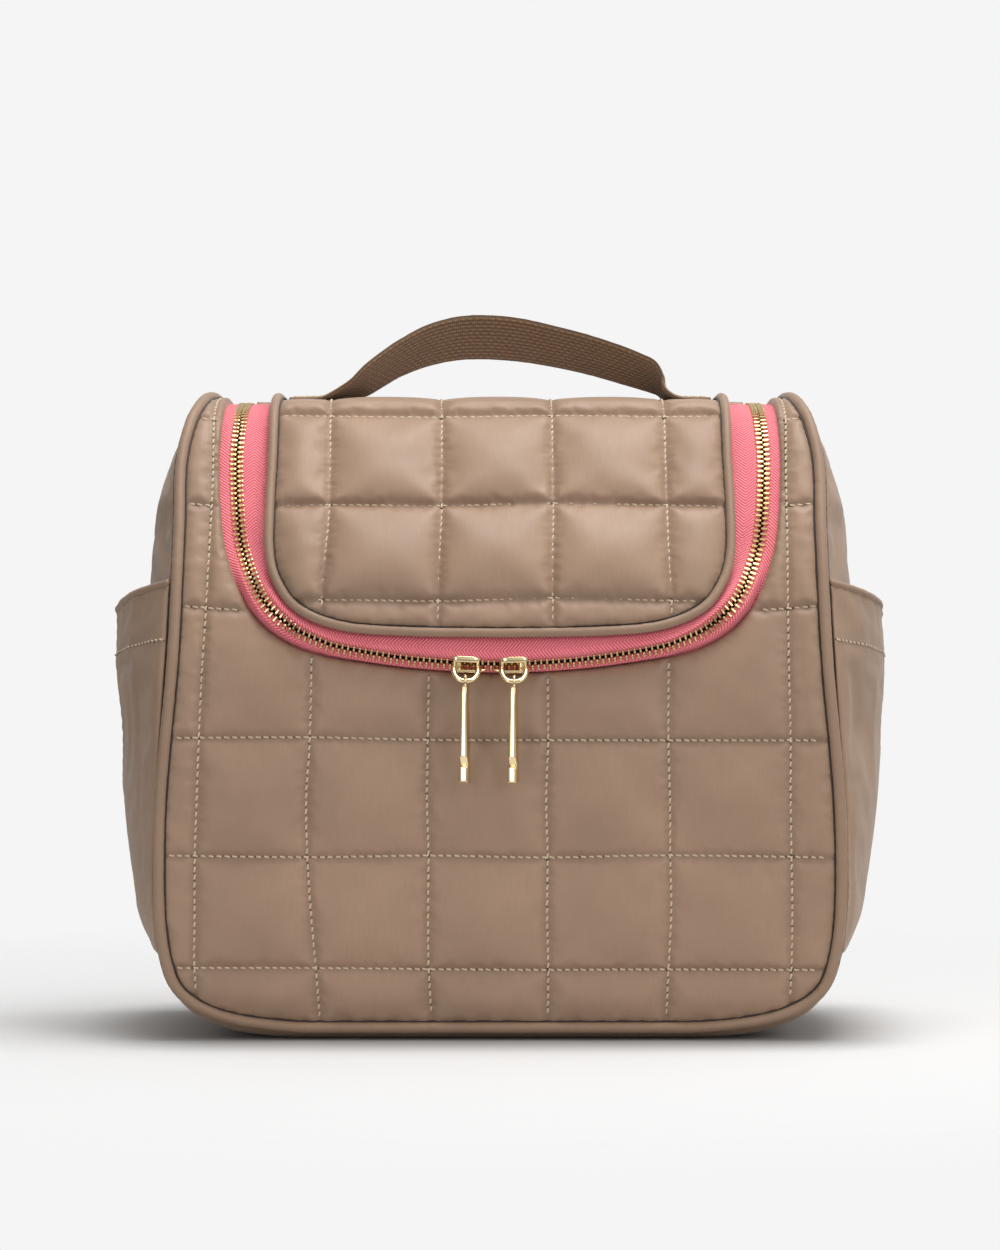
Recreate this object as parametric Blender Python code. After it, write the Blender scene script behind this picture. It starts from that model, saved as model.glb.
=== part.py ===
"""Zip-round makeup bag with a quilted lid, side pockets, piping and a webbing handle.

Metres, +Z up, the lid's front faces -Y. The bag stands on Z = 0.
Driving dimensions are in millimetres below and are turned into metres when a mesh is made.
"""
import math

import bpy
import numpy as np
from mathutils import Vector

MM = 0.001

# Padded fabric, lining and cords
PANEL = 2.2
LINING = 0.6
TAPE = 0.6
PIPING_R = 2.2
LID_PIPING_R = 1.85
SEAM_INSET = 3.0
GAP = 0.4

# Zip: the two halves meet on the chain's centre line, each TEETH_T thick
TEETH_IN = 0.15
TEETH_OUT = 2.75
TEETH_T = 1.6
CHAIN_SINK = 2.9
ZIP_R = 300.0
ZIP_Y = -67.5
ZIP_Z = 148.0
ZIP_ARC_X = 66.0

# Lid hinge line over the rear top seam
HINGE_Y = 48.0
HINGE_Z = 246.0

# Handle
HANDLE_HALF = 68.0
HANDLE_RISE = 29.0
HANDLE_W = 25.0
HANDLE_T = 1.6
HANDLE_LEAN = math.radians(45.0)
HANDLE_Y = 22.0
HANDLE_Z = 255.9

# Sliders and pulls
SLIDER_LEFT_X = -13.2
SLIDER_RIGHT_X = 5.4
SLIDER_L = 10.4
SLIDER_W = 9.0
SLIDER_T = 1.2
BRIDGE_R = 0.8
BRIDGE_TOP = 9.7
BRIDGE_HALF = 5.2
PULL_L = 41.0
PULL_W = 7.0
PULL_T = 2.0
PULL_HOLE = 3.0

# Wrap: front from the bottom seam up, over the top and back to the rear seam, as (y, z)
WRAP = [(-57.5, 5.0), (-62.5, 30.0), (-65.5, 62.0), (-66.3, 100.0), (-64.6, 135.0), (-62.6, 155.0),
        (-57.0, 178.0), (-47.0, 200.0), (-34.5, 220.0), (-22.5, 237.0), (-11.0, 247.0),
        (4.0, 251.6), (24.0, 252.2), (44.0, 249.0)]

# Back panel from the bottom seam up, as (y, z)
BACK = [(57.5, 5.0), (61.0, 30.0), (63.5, 62.0), (64.3, 100.0), (64.0, 150.0), (62.0, 190.0),
        (58.5, 220.0), (54.0, 240.5)]

# Stations from the rear seam round to the bottom centre. The top ones are (x, y), marked 't'.
OUTLINE = [('t', 112.5, 43.0), ('t', 116.0, 20.0), ('t', 119.5, -4.0), (123.6, 241.0), (126.4, 225.0),
           (126.4, 198.0), (128.0, 152.0), (133.2, 88.0), (131.8, 36.0), (119.0, 14.0), (80.0, 5.2), (0.0, 5.0)]
MOUTH = [('t', 107.0, 43.0), ('t', 108.5, 20.0), ('t', 109.6, -4.0), (110.4, 241.0), (110.8, 228.0),
         (109.6, 208.0), (106.4, 190.0), (97.0, 168.0), (78.0, 152.6), (48.0, 145.2), (22.6, 142.6), (0.0, 142.0)]
CHAIN = [('t', 100.6, 43.0), ('t', 102.0, 20.0), ('t', 103.0, -4.0), (103.9, 241.0), (104.5, 228.0),
         (103.4, 208.0), (100.6, 192.0), (93.0, 174.0), (81.0, 162.3)]
LID_EDGE = [('t', 87.6, 43.0), ('t', 89.2, 20.0), ('t', 89.9, -4.0), (90.1, 241.0), (90.2, 228.0),
            (90.8, 208.0), (90.6, 192.0), (87.6, 180.0), (79.0, 168.6), (62.0, 161.6), (36.0, 159.4), (0.0, 158.9)]

# Back panel outline, as half width at each height
BACK_OUTLINE = [(100.0, 240.5), (108.5, 236.0), (113.5, 228.0), (117.0, 214.0), (121.0, 190.0), (124.0, 155.0),
                (128.0, 105.0), (130.0, 64.0), (128.0, 37.0), (122.0, 22.0), (110.0, 11.0), (92.0, 6.0),
                (70.0, 5.0), (0.0, 5.0)]

# Gusset: front seam point, back seam point (half width, height), outward bulge, pocket gap
GUSSET = [(('t', 113.4, 38.0), (111.5, 232.0), 0.5, 0.0), (('t', 116.6, 16.0), (116.3, 217.0), 2.0, 0.0),
          (('t', 119.9, -6.0), (119.6, 200.0), 5.0, 0.0), ((124.2, 238.0), (121.6, 186.0), 8.5, 0.0),
          ((126.5, 222.0), (122.6, 175.0), 11.5, 0.0), ((126.3, 204.0), (123.4, 163.0), 12.5, 0.0),
          ((126.8, 180.0), (124.2, 151.0), 12.5, 12.0), ((128.2, 152.0), (125.4, 135.0), 11.0, 12.0),
          ((130.3, 122.0), (127.0, 113.0), 9.0, 10.5), ((132.4, 92.0), (128.6, 88.0), 7.0, 9.5),
          ((133.4, 62.0), (130.0, 61.0), 5.0, 7.0), ((132.4, 42.0), (128.8, 42.0), 3.5, 6.0),
          ((131.0, 33.0), (127.3, 33.0), 1.5, 0.0)]
POCKET_FROM = 6


def clear_scene():
    """Remove every object that the startup file brought."""
    for old in list(bpy.data.objects):
        bpy.data.objects.remove(old, do_unlink=True)


def spline(points, per):
    """Catmull-Rom curve through the points with 'per' steps between each two."""
    points = [np.array(p, dtype=float) for p in points]
    ends = [2 * points[0] - points[1]] + points + [2 * points[-1] - points[-2]]
    out = []
    for i in range(len(points) - 1):
        a, b, c, d = ends[i:i + 4]
        for k in range(per):
            t = k / per
            out.append(0.5 * (2 * b + (c - a) * t + (2 * a - 5 * b + 4 * c - d) * t ** 2
                              + (3 * b - 3 * c + d - a) * t ** 3))
    out.append(points[-1])
    return np.array(out)


class Profile:
    """A smooth (y, z) profile with its arc length and its outward normal."""

    def __init__(self, points, outward):
        self.yz = spline(points, 16)
        steps = np.linalg.norm(np.diff(self.yz, axis=0), axis=1)
        self.s = np.concatenate([[0.0], np.cumsum(steps)])
        self.length = float(self.s[-1])
        self.outward = outward

    def at(self, s):
        """Return the (y, z) point at arc length s."""
        y = np.interp(s, self.s, self.yz[:, 0])
        z = np.interp(s, self.s, self.yz[:, 1])
        return np.array([y, z])

    def normal(self, s):
        """Return the outward unit normal at arc length s."""
        step = self.at(min(s + 2.0, self.length)) - self.at(max(s - 2.0, 0.0))
        step /= np.linalg.norm(step)
        return self.outward * np.array([-step[1], step[0]])

    def s_at_height(self, z):
        """Return the arc length at height z on the rising part."""
        top = int(np.argmax(self.yz[:, 1]))
        return float(np.interp(z, self.yz[:top + 1, 1], self.s[:top + 1]))

    def s_at_depth(self, y):
        """Return the arc length at depth y on the part that runs back over the top."""
        return float(np.interp(y, self.yz[:, 0][len(self.yz) // 2:], self.s[len(self.yz) // 2:]))

    def point(self, x, s, off):
        """Return the 3D point off the surface at (x, s)."""
        y, z = self.at(s) + off * self.normal(s)
        return np.array([x, y, z])


wrap = Profile(WRAP, 1.0)
back = Profile(BACK, -1.0)


def station(entry):
    """Turn a station entry into (x, s) on the wrap."""
    if entry[0] == 't':
        return (entry[1], wrap.s_at_depth(entry[2]))
    return (entry[0], wrap.s_at_height(entry[1]))


def both_halves(half):
    """Mirror a rear-to-bottom half curve into the whole U, from the left rear to the right rear."""
    half = [tuple(p) for p in half]
    left = [(-x, *rest) for x, *rest in half]
    return np.array(left + [tuple(p) for p in reversed(half[:-1])])


def make_material(name, colour, roughness, metallic=0.0):
    """Return a Principled material."""
    material = bpy.data.materials.new(name)
    material.use_nodes = True
    shader = material.node_tree.nodes["Principled BSDF"]
    shader.inputs["Base Color"].default_value = (*colour, 1.0)
    shader.inputs["Roughness"].default_value = roughness
    shader.inputs["Metallic"].default_value = metallic
    return material


def add_object(name, vertices, faces, material, origin=(0.0, 0.0, 0.0)):
    """Add one closed solid, given in millimetres, with its origin at the given point."""
    mesh = bpy.data.meshes.new(name)
    base = np.array(origin, dtype=float)
    mesh.from_pydata([tuple((np.array(v) - base) * MM) for v in vertices], [], faces)
    mesh.materials.append(material)
    thing = bpy.data.objects.new(name, mesh)
    thing.location = Vector(base) * MM
    bpy.context.scene.collection.objects.link(thing)
    return thing


def slab_mesh(outer, inner):
    """Return the vertices and faces of a closed sheet between two equal grids."""
    outer = np.array(outer)
    inner = np.array(inner)
    rows, cols = outer.shape[:2]
    vertices = list(outer.reshape(-1, 3)) + list(inner.reshape(-1, 3))
    below = rows * cols

    def at(i, j):
        return i * cols + j

    faces = []
    for i in range(rows - 1):
        for j in range(cols - 1):
            quad = [at(i, j), at(i, j + 1), at(i + 1, j + 1), at(i + 1, j)]
            faces.append(quad)
            faces.append([below + k for k in reversed(quad)])
    rim = [at(0, j) for j in range(cols)] + [at(i, cols - 1) for i in range(1, rows)]
    rim += [at(rows - 1, j) for j in range(cols - 2, -1, -1)] + [at(i, 0) for i in range(rows - 2, 0, -1)]
    for a, b in zip(rim, rim[1:] + rim[:1]):
        faces.append([b, a, below + a, below + b])
    if signed_volume(vertices, faces) < 0:
        faces = [list(reversed(f)) for f in faces]
    return vertices, faces


def signed_volume(vertices, faces):
    """Return six times the volume that the faces enclose."""
    total = 0.0
    for face in faces:
        for b, c in zip(face[1:-1], face[2:]):
            total += float(np.dot(vertices[face[0]], np.cross(vertices[b], vertices[c])))
    return total


def slab(name, outer, inner, material, origin=(0.0, 0.0, 0.0)):
    """Add a closed sheet between two equal grids."""
    return add_object(name, *slab_mesh(outer, inner), material, origin)


def tube(name, centre, radius, sides, material, loop=False, origin=(0.0, 0.0, 0.0)):
    """Add a round cord along the centre line."""
    centre = np.array(centre)
    count = len(centre)
    rings = []
    side = None
    for i in range(count):
        before = centre[i - 1] if i or loop else centre[i]
        after = centre[(i + 1) % count] if i < count - 1 or loop else centre[i]
        tangent = (after - before) / np.linalg.norm(after - before)
        if side is None:
            guess = np.array([0.0, 0.0, 1.0]) if abs(tangent[2]) < 0.8 else np.array([0.0, 1.0, 0.0])
            side = guess
        side = side - tangent * np.dot(side, tangent)
        side /= np.linalg.norm(side)
        other = np.cross(tangent, side)
        turn = [2 * math.pi * k / sides for k in range(sides)]
        rings.append([centre[i] + radius * (math.cos(a) * side + math.sin(a) * other) for a in turn])
    vertices = [v for ring in rings for v in ring]
    faces = []
    for i in range(count if loop else count - 1):
        n = (i + 1) % count
        for k in range(sides):
            m = (k + 1) % sides
            faces.append([i * sides + k, i * sides + m, n * sides + m, n * sides + k])
    if not loop:
        faces.append(list(reversed(range(sides))))
        faces.append([(count - 1) * sides + k for k in range(sides)])
    if signed_volume(vertices, faces) < 0:
        faces = [list(reversed(f)) for f in faces]
    return add_object(name, vertices, faces, material, origin)


def grid(rows, cols, where):
    """Return a rows x cols grid of where(i, j)."""
    return [[where(i, j) for j in range(cols)] for i in range(rows)]


# Curves shared by the panels, the cords and the zip
outline_xs = both_halves(np.maximum(spline([station(e) for e in OUTLINE], 2), 0.0))
mouth_xs = both_halves(spline([station(e) for e in MOUTH], 2))
lid_xs = both_halves(spline([station(e) for e in LID_EDGE], 2))


def lid_bump(x, z):
    """Return how far the lid stands proud of the wrap."""
    fade = min(max((z - 162.0) / 78.0, 0.0), 1.0)
    fade = 1.0 - fade * fade * (3.0 - 2.0 * fade)
    return 9.0 * fade * (1.0 - 0.75 * min(abs(x) / 91.0, 1.0) ** 6)


def lid_point(x, s, off):
    """Return a point off the lid's outer surface."""
    return wrap.point(x, s, off + lid_bump(x, wrap.at(s)[1]))


def chain_curve():
    """Return the zip's centre line with its cross direction (away from the lid) and its normal."""
    lead = []
    for entry in CHAIN:
        x, s = station(entry)
        z = wrap.at(s)[1]
        low = min(max((190.0 - z) / 34.0, 0.0), 1.0) if entry[0] != 't' else 0.0
        sunk = wrap.point(x, s, -CHAIN_SINK)
        y = sunk[1] * (1.0 - low) + ZIP_Y * low
        lead.append((x, y, sunk[2] * (1.0 - low) + z * low))
    arc_x = np.linspace(ZIP_ARC_X, 0.0, 8)
    arc = [(x, ZIP_Y, ZIP_Z + ZIP_R - math.sqrt(ZIP_R ** 2 - x * x)) for x in arc_x]
    half = list(spline(lead + [arc[0]], 2)) + arc[1:]
    points = both_halves(half)
    reach = np.array([ZIP_Y - HINGE_Y, ZIP_Z - HINGE_Z])
    reach /= np.linalg.norm(reach)
    crosses = []
    normals = []
    for i, p in enumerate(points):
        tangent = points[min(i + 1, len(points) - 1)] - points[max(i - 1, 0)]
        tangent /= np.linalg.norm(tangent)
        spoke = np.array([-p[0], 0.0, ZIP_Z + ZIP_R - p[2]])
        spoke /= np.linalg.norm(spoke)
        low_n = np.array([0.0, reach[0], 0.0]) + reach[1] * spoke
        top = p[1] > -15.0
        s = wrap.s_at_depth(p[1]) if top else wrap.s_at_height(p[2])
        flat = np.array([0.0, *wrap.normal(s)])
        mix = min(max((abs(p[0]) - ZIP_ARC_X - 4.0) / 30.0, 0.0), 1.0)
        normal = low_n * (1.0 - mix) + flat * mix
        normal -= tangent * np.dot(normal, tangent)
        normal /= np.linalg.norm(normal)
        crosses.append(np.cross(tangent, normal))
        normals.append(normal)
    return points, np.array(crosses), np.array(normals)


chain, cross, up = chain_curve()


def resample(curve, count):
    """Return the curve at 'count' even steps of its own length."""
    steps = np.linalg.norm(np.diff(curve, axis=0), axis=1)
    s = np.concatenate([[0.0], np.cumsum(steps)])
    even = np.linspace(0.0, s[-1], count)
    return np.stack([np.interp(even, s, curve[:, k]) for k in range(curve.shape[1])], axis=1)


def nearest(curve, point):
    """Return the point of the polyline that is nearest to the given point."""
    best = None
    for a, b in zip(curve[:-1], curve[1:]):
        span = b - a
        t = min(max(float(np.dot(point - a, span) / np.dot(span, span)), 0.0), 1.0)
        spot = a + t * span
        gap = float(np.linalg.norm(point - spot))
        if best is None or gap < best[0]:
            best = (gap, spot)
    return best[1]


def inset(curve, distance):
    """Move a U curve in (x, s) sideways by the distance, towards its right-hand side."""
    out = []
    for i in range(len(curve)):
        tangent = curve[min(i + 1, len(curve) - 1)] - curve[max(i - 1, 0)]
        tangent /= np.linalg.norm(tangent)
        out.append(curve[i] + distance * np.array([-tangent[1], tangent[0]]))
    return np.array(out)


def front_sheet(name, edge_in, edge_out, depth, thick, rows, material):
    """Add a U-shaped sheet between the mouth and the front outline."""
    inner = inset(mouth_xs, -edge_in)
    outer = inset(outline_xs, edge_out)

    def where(off):
        def spot(i, j):
            x, s = inner[i] * (1.0 - j / rows) + outer[i] * (j / rows)
            return wrap.point(x, s, off)
        return spot

    count = len(inner)
    return slab(name, grid(count, rows + 1, where(-depth)), grid(count, rows + 1, where(-depth - thick)), material)


def lid_rows():
    """Return the lid's rows from the bottom edge to the rear seam, as (half width, end s, middle s)."""
    half = inset(lid_xs, 2.6)
    middle = len(half) // 2
    half = half[middle:]
    s_mid = float(half[0][1])
    rows = []
    first = 5
    for i in range(first, len(half)):
        x, s = half[i]
        t = (i - first) / (len(half) - 1 - first)
        rows.append((float(x), float(s), s_mid + (float(half[-1][1]) - s_mid) * t ** 1.35))
    for k, (x, s, mid) in enumerate(rows):
        blend = min(k / 7.0, 1.0)
        rows[k] = (x, s, mid * (1.0 - blend) + s * blend)
    return rows


def lid_sheet(name, trim, depth, thick, cols, material):
    """Add a sheet that fills the lid's outline."""
    rows = lid_rows()

    def where(off):
        def spot(i, j):
            u = 2.0 * j / cols - 1.0
            x, end, mid = rows[i]
            s = mid + (end - mid) * u * u
            s += trim * max(0.0, 1.0 - i / 4.0) - trim * (i == len(rows) - 1)
            return lid_point(u * (x - trim), s, off)
        return spot

    return slab(name, grid(len(rows), cols + 1, where(-depth)), grid(len(rows), cols + 1, where(-depth - thick)),
                material)


def back_half_width(z):
    """Return the back piping's half width at height z."""
    heights = [p[1] for p in reversed(BACK_OUTLINE[:-1])]
    widths = [p[0] for p in reversed(BACK_OUTLINE[:-1])]
    return float(np.interp(z, heights, widths))


def back_sheet(name, edge, depth, thick, cols, material):
    """Add a sheet that fills the back outline."""
    half = [np.array([x, back.s_at_height(z)]) for x, z in BACK_OUTLINE[:-1]]
    line = inset(spline(half, 2), -edge)
    rows = []
    for x, s in line:
        rows.append((max(float(x), 1.0), float(s)))
    low = 2.0 + edge
    rows = [(x, s) for x, s in rows if s > low + 0.3] + [(rows[-1][0], low)]

    def where(off):
        def spot(i, j):
            x, s = rows[i]
            return back.point((2.0 * j / cols - 1.0) * x, s, off)
        return spot

    return slab(name, grid(len(rows), cols + 1, where(-depth)), grid(len(rows), cols + 1, where(-depth - thick)),
                material)


def gusset_stations(first):
    """Return smooth (front point, back point, bulge, pocket gap) stations, left side."""
    keys = []
    for front, rear, bulge, gap in GUSSET[first:]:
        x, s = station(front)
        f = wrap.point(x, s, 0.0)
        b = back.point(rear[0], back.s_at_height(rear[1]), 0.0)
        keys.append([-f[0], f[1], f[2], -b[0], b[1], b[2], bulge, gap])
    return spline(keys, 2)


def gusset_sheet(name, sign, first, edge, depth, thick, material, pocket=0.0):
    """Add a side sheet. The pocket factor opens its gap, and negative depths stand outside."""
    stations = gusset_stations(first)
    cols = 8

    def where(off):
        def spot(i, j):
            row = stations[i]
            f, b = row[0:3], row[3:6]
            span = np.linalg.norm(b - f)
            trim = edge + 3.2 * max(0.0, 1.0 - (2 * first + i) / 9.0)
            t = (trim + (span - 2.0 * trim) * j / cols) / span
            lift = row[6] * (1.0 - abs(2.0 * t - 1.0) ** 2.5)
            lift += pocket * row[7] * (1.0 - (2.0 * t - 1.0) ** 2)
            p = f + (b - f) * t
            p[0] -= lift + off
            p[0] *= sign
            return p
        return spot

    count = len(stations)
    return slab(name, grid(count, cols + 1, where(-depth)), grid(count, cols + 1, where(-depth - thick)), material)


def base_sheet(name, edge, depth, thick, material):
    """Add the bottom strip, flat on the floor and turned up at both ends."""
    ends = [(130.8, 30.0, 127.2), (127.3, 21.0, 121.6), (119.0, 13.0, 112.5), (107.0, 8.0, 100.0),
            (92.0, 5.6, 86.0), (78.0, 5.0, 74.0), (40.0, 5.0, 38.0), (0.0, 5.0, 0.0)]
    bulges = [1.0, 3.0, 4.2, 4.8, 5.0, 5.0, 5.0, 5.0]
    outs = [(1.0, 0.0), (0.89, -0.45), (0.6, -0.8), (0.3, -0.95), (0.08, -1.0), (0.0, -1.0), (0.0, -1.0), (0.0, -1.0)]
    half = []
    for (xf, z, xb), bulge, out in zip(ends, bulges, outs):
        f = wrap.point(xf, wrap.s_at_height(z), 0.0)
        b = back.point(xb, back.s_at_height(z), 0.0)
        half.append((f, b, bulge, out))
    rows = [([-f[0], f[1], f[2]], [-b[0], b[1], b[2]], g, (-o[0], o[1])) for f, b, g, o in half]
    rows += [(list(f), list(b), g, o) for f, b, g, o in reversed(half[:-1])]
    across = [0.0, 0.05, 0.12, 0.5, 0.88, 0.95, 1.0]
    rise = [0.0, 0.75, 1.0, 1.0, 1.0, 0.75, 0.0]

    def where(off):
        def spot(i, j):
            f, b, bulge, out = rows[i]
            f = np.array(f)
            b = np.array(b)
            span = np.linalg.norm(b - f)
            t = (edge + (span - 2.0 * edge) * across[j]) / span
            lift = bulge * rise[j] + off
            return f + (b - f) * t + lift * np.array([out[0], 0.0, out[1]])
        return spot

    return slab(name, grid(len(rows), 7, where(-depth)), grid(len(rows), 7, where(-depth - thick)), material)


def half_chain(name, sign, material):
    """Add one row of teeth as a plain strip beside the centre line."""
    def where(off):
        def spot(i, j):
            e = sign * (TEETH_IN + (TEETH_OUT - TEETH_IN) * j)
            return chain[i] + e * cross[i] + off * up[i]
        return spot

    count = len(chain)
    return slab(name, grid(count, 2, where(TEETH_T / 2)), grid(count, 2, where(-TEETH_T / 2)), material)


def tape_sheet(name, sign, edge_curve, material):
    """Add one half of the zip tape, from beside the teeth to under its panel."""
    edge = resample(edge_curve, 400)
    lines = []
    for i, p in enumerate(chain):
        seek = nearest(edge, p)
        if i in (0, len(chain) - 1):
            seek = edge[0 if i == 0 else -1]
        reach = np.linalg.norm(seek - p)
        start = p + sign * 3.15 * cross[i]
        knee = p + sign * min(5.0, max(3.7, 0.5 * reach)) * cross[i]
        s = wrap.s_at_depth(seek[1]) if seek[1] > -15.0 else wrap.s_at_height(seek[2])
        face = np.array([0.0, *wrap.normal(s)])
        away = seek - p
        away -= face * np.dot(away, face)
        away /= np.linalg.norm(away)
        lines.append([start, knee, seek, seek + away * 3.0])
    lines = np.array(lines)
    normals = np.zeros_like(lines)
    for i in range(len(chain)):
        for k in range(4):
            along = lines[min(i + 1, len(chain) - 1)][k] - lines[max(i - 1, 0)][k]
            over = lines[i][min(k + 1, 3)] - lines[i][max(k - 1, 0)]
            normal = np.cross(along, over)
            normal /= np.linalg.norm(normal)
            normals[i][k] = normal if np.dot(normal, up[i]) > 0 else -normal
    return slab(name, lines + normals * TAPE / 2, lines - normals * TAPE / 2, material)


def make_handle(material):
    """Add the webbing arch, leaning back, with its origin on its tilt line."""
    rise = np.array([0.0, math.sin(HANDLE_LEAN), math.cos(HANDLE_LEAN)])
    wide = np.array([0.0, math.cos(HANDLE_LEAN), -math.sin(HANDLE_LEAN)])
    foot = np.array([0.0, HANDLE_Y, HANDLE_Z])
    line = []
    for k in range(29):
        turn = math.pi * k / 28
        x = -HANDLE_HALF * math.copysign(abs(math.cos(turn)) ** 0.9, math.cos(turn))
        line.append((x, HANDLE_RISE * math.sin(turn) ** 0.8))
    outer = []
    inner = []
    for k, (x, h) in enumerate(line):
        a = line[max(k - 1, 0)]
        b = line[min(k + 1, 28)]
        tangent = np.array([b[0] - a[0], b[1] - a[1]])
        tangent /= np.linalg.norm(tangent)
        half = min(HANDLE_W / 2, 0.577 * h + 3.4)
        centre = foot + np.array([x, 0.0, 0.0]) + h * rise
        lift = -tangent[1] * np.array([1.0, 0.0, 0.0]) + tangent[0] * rise
        outer.append([centre + lift * HANDLE_T / 2 + wide * half * w for w in (-1.0, 0.0, 1.0)])
        inner.append([centre - lift * HANDLE_T / 2 + wide * half * w for w in (-1.0, 0.0, 1.0)])
    return slab("handle_webbing", outer, inner, material, origin=foot)


def make_foot(name, sign, material):
    """Add a webbing end, stitched flat on the lid's top."""
    def where(off):
        def spot(i, j):
            x = sign * (68.8 + 16.0 * i / 3)
            s = wrap.s_at_depth(HANDLE_Y - 11.5 + 23.0 * j / 4)
            return lid_point(x, s, off)
        return spot

    return slab(name, grid(4, 5, where(2.2)), grid(4, 5, where(0.3)), material)


def slider_frame(x):
    """Return the chain point, tangent, cross and normal directions at x on the bottom arc."""
    z = ZIP_Z + ZIP_R - math.sqrt(ZIP_R ** 2 - x * x)
    point = np.array([x, ZIP_Y, z])
    spoke = np.array([-x, 0.0, ZIP_Z + ZIP_R - z])
    spoke /= np.linalg.norm(spoke)
    reach = np.array([ZIP_Y - HINGE_Y, ZIP_Z - HINGE_Z])
    reach /= np.linalg.norm(reach)
    normal = np.array([0.0, reach[0], 0.0]) + reach[1] * spoke
    tangent = np.array([spoke[2], 0.0, -spoke[0]])
    return point, tangent, np.cross(tangent, normal), normal


def make_slider(name, x, nose, material):
    """Add a slider: a plate over the chain with an arched bridge, cut from one loft and one tube."""
    point, tangent, over, normal = slider_frame(x)
    low = TEETH_T / 2 + 0.35
    high = low + SLIDER_T

    def where(height, trim):
        def spot(i, j):
            a = (i / 6.0 - 0.5) * SLIDER_L
            taper = 1.0 - 0.28 * max(0.0, nose * a / (SLIDER_L / 2)) ** 2
            e = (j / 2.0 - 0.5) * (SLIDER_W - trim) * taper
            return point + tangent * a + over * e + normal * height
        return spot

    vertices, faces = slab_mesh(grid(7, 3, where(high, 0.6)), grid(7, 3, where(low, 0.0)))
    plate = add_object(name, vertices, faces, material, origin=(0.0, ZIP_Y, ZIP_Z + ZIP_R))
    arch = []
    for k in range(13):
        turn = math.pi * k / 12
        a = -BRIDGE_HALF * math.cos(turn) * 0.86
        arch.append(point + tangent * a + normal * (high - 0.5 + (BRIDGE_TOP - high + 0.5) * math.sin(turn)))
    bridge = tube(name + "_bridge", arch, BRIDGE_R, 8, material, origin=(0.0, ZIP_Y, ZIP_Z + ZIP_R))
    bridge.hide_render = True
    bridge.display_type = "WIRE"
    join = plate.modifiers.new("bridge", "BOOLEAN")
    join.operation = "UNION"
    join.solver = "EXACT"
    join.object = bridge


def make_pull(name, x, material):
    """Add a pull tab that hangs edge-on from the bridge, with a real hole at its top."""
    point, _, _, normal = slider_frame(x)
    pivot = point + normal * BRIDGE_TOP
    count = 20
    hole = []
    for k in range(count):
        turn = 2 * math.pi * k / count
        hole.append((PULL_HOLE / 2 * math.cos(turn), PULL_HOLE / 2 * math.sin(turn)))
    rim = []
    half = PULL_W / 2
    top = 2.6
    end = top - PULL_L
    for k in range(count):
        turn = 2 * math.pi * k / count
        c, s = math.cos(turn), math.sin(turn)
        if s >= -0.001:
            rim.append((half * 0.62 * c, top * s))
        else:
            reach = (abs(s) ** 2.2)
            side = math.copysign(min(1.0, abs(c) * 1.9), c) if abs(c) > 0.01 else 0.0
            rim.append((half * side * (0.62 + 0.38 * min(1.0, abs(s) * 2.0)), end * reach))
    vertices = []
    for face_x in (-PULL_T / 2, PULL_T / 2):
        for y, z in hole + rim:
            vertices.append(pivot + np.array([face_x, y, z]))
    faces = []
    layer = 2 * count
    for k in range(count):
        n = (k + 1) % count
        faces.append([k, n, count + n, count + k])
        faces.append([layer + n, layer + k, layer + count + k, layer + count + n])
        faces.append([n, k, layer + k, layer + n])
        faces.append([count + k, count + n, layer + count + n, layer + count + k])
    if signed_volume(vertices, faces) < 0:
        faces = [list(reversed(f)) for f in faces]
    add_object(name, vertices, faces, material, origin=pivot)


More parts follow.
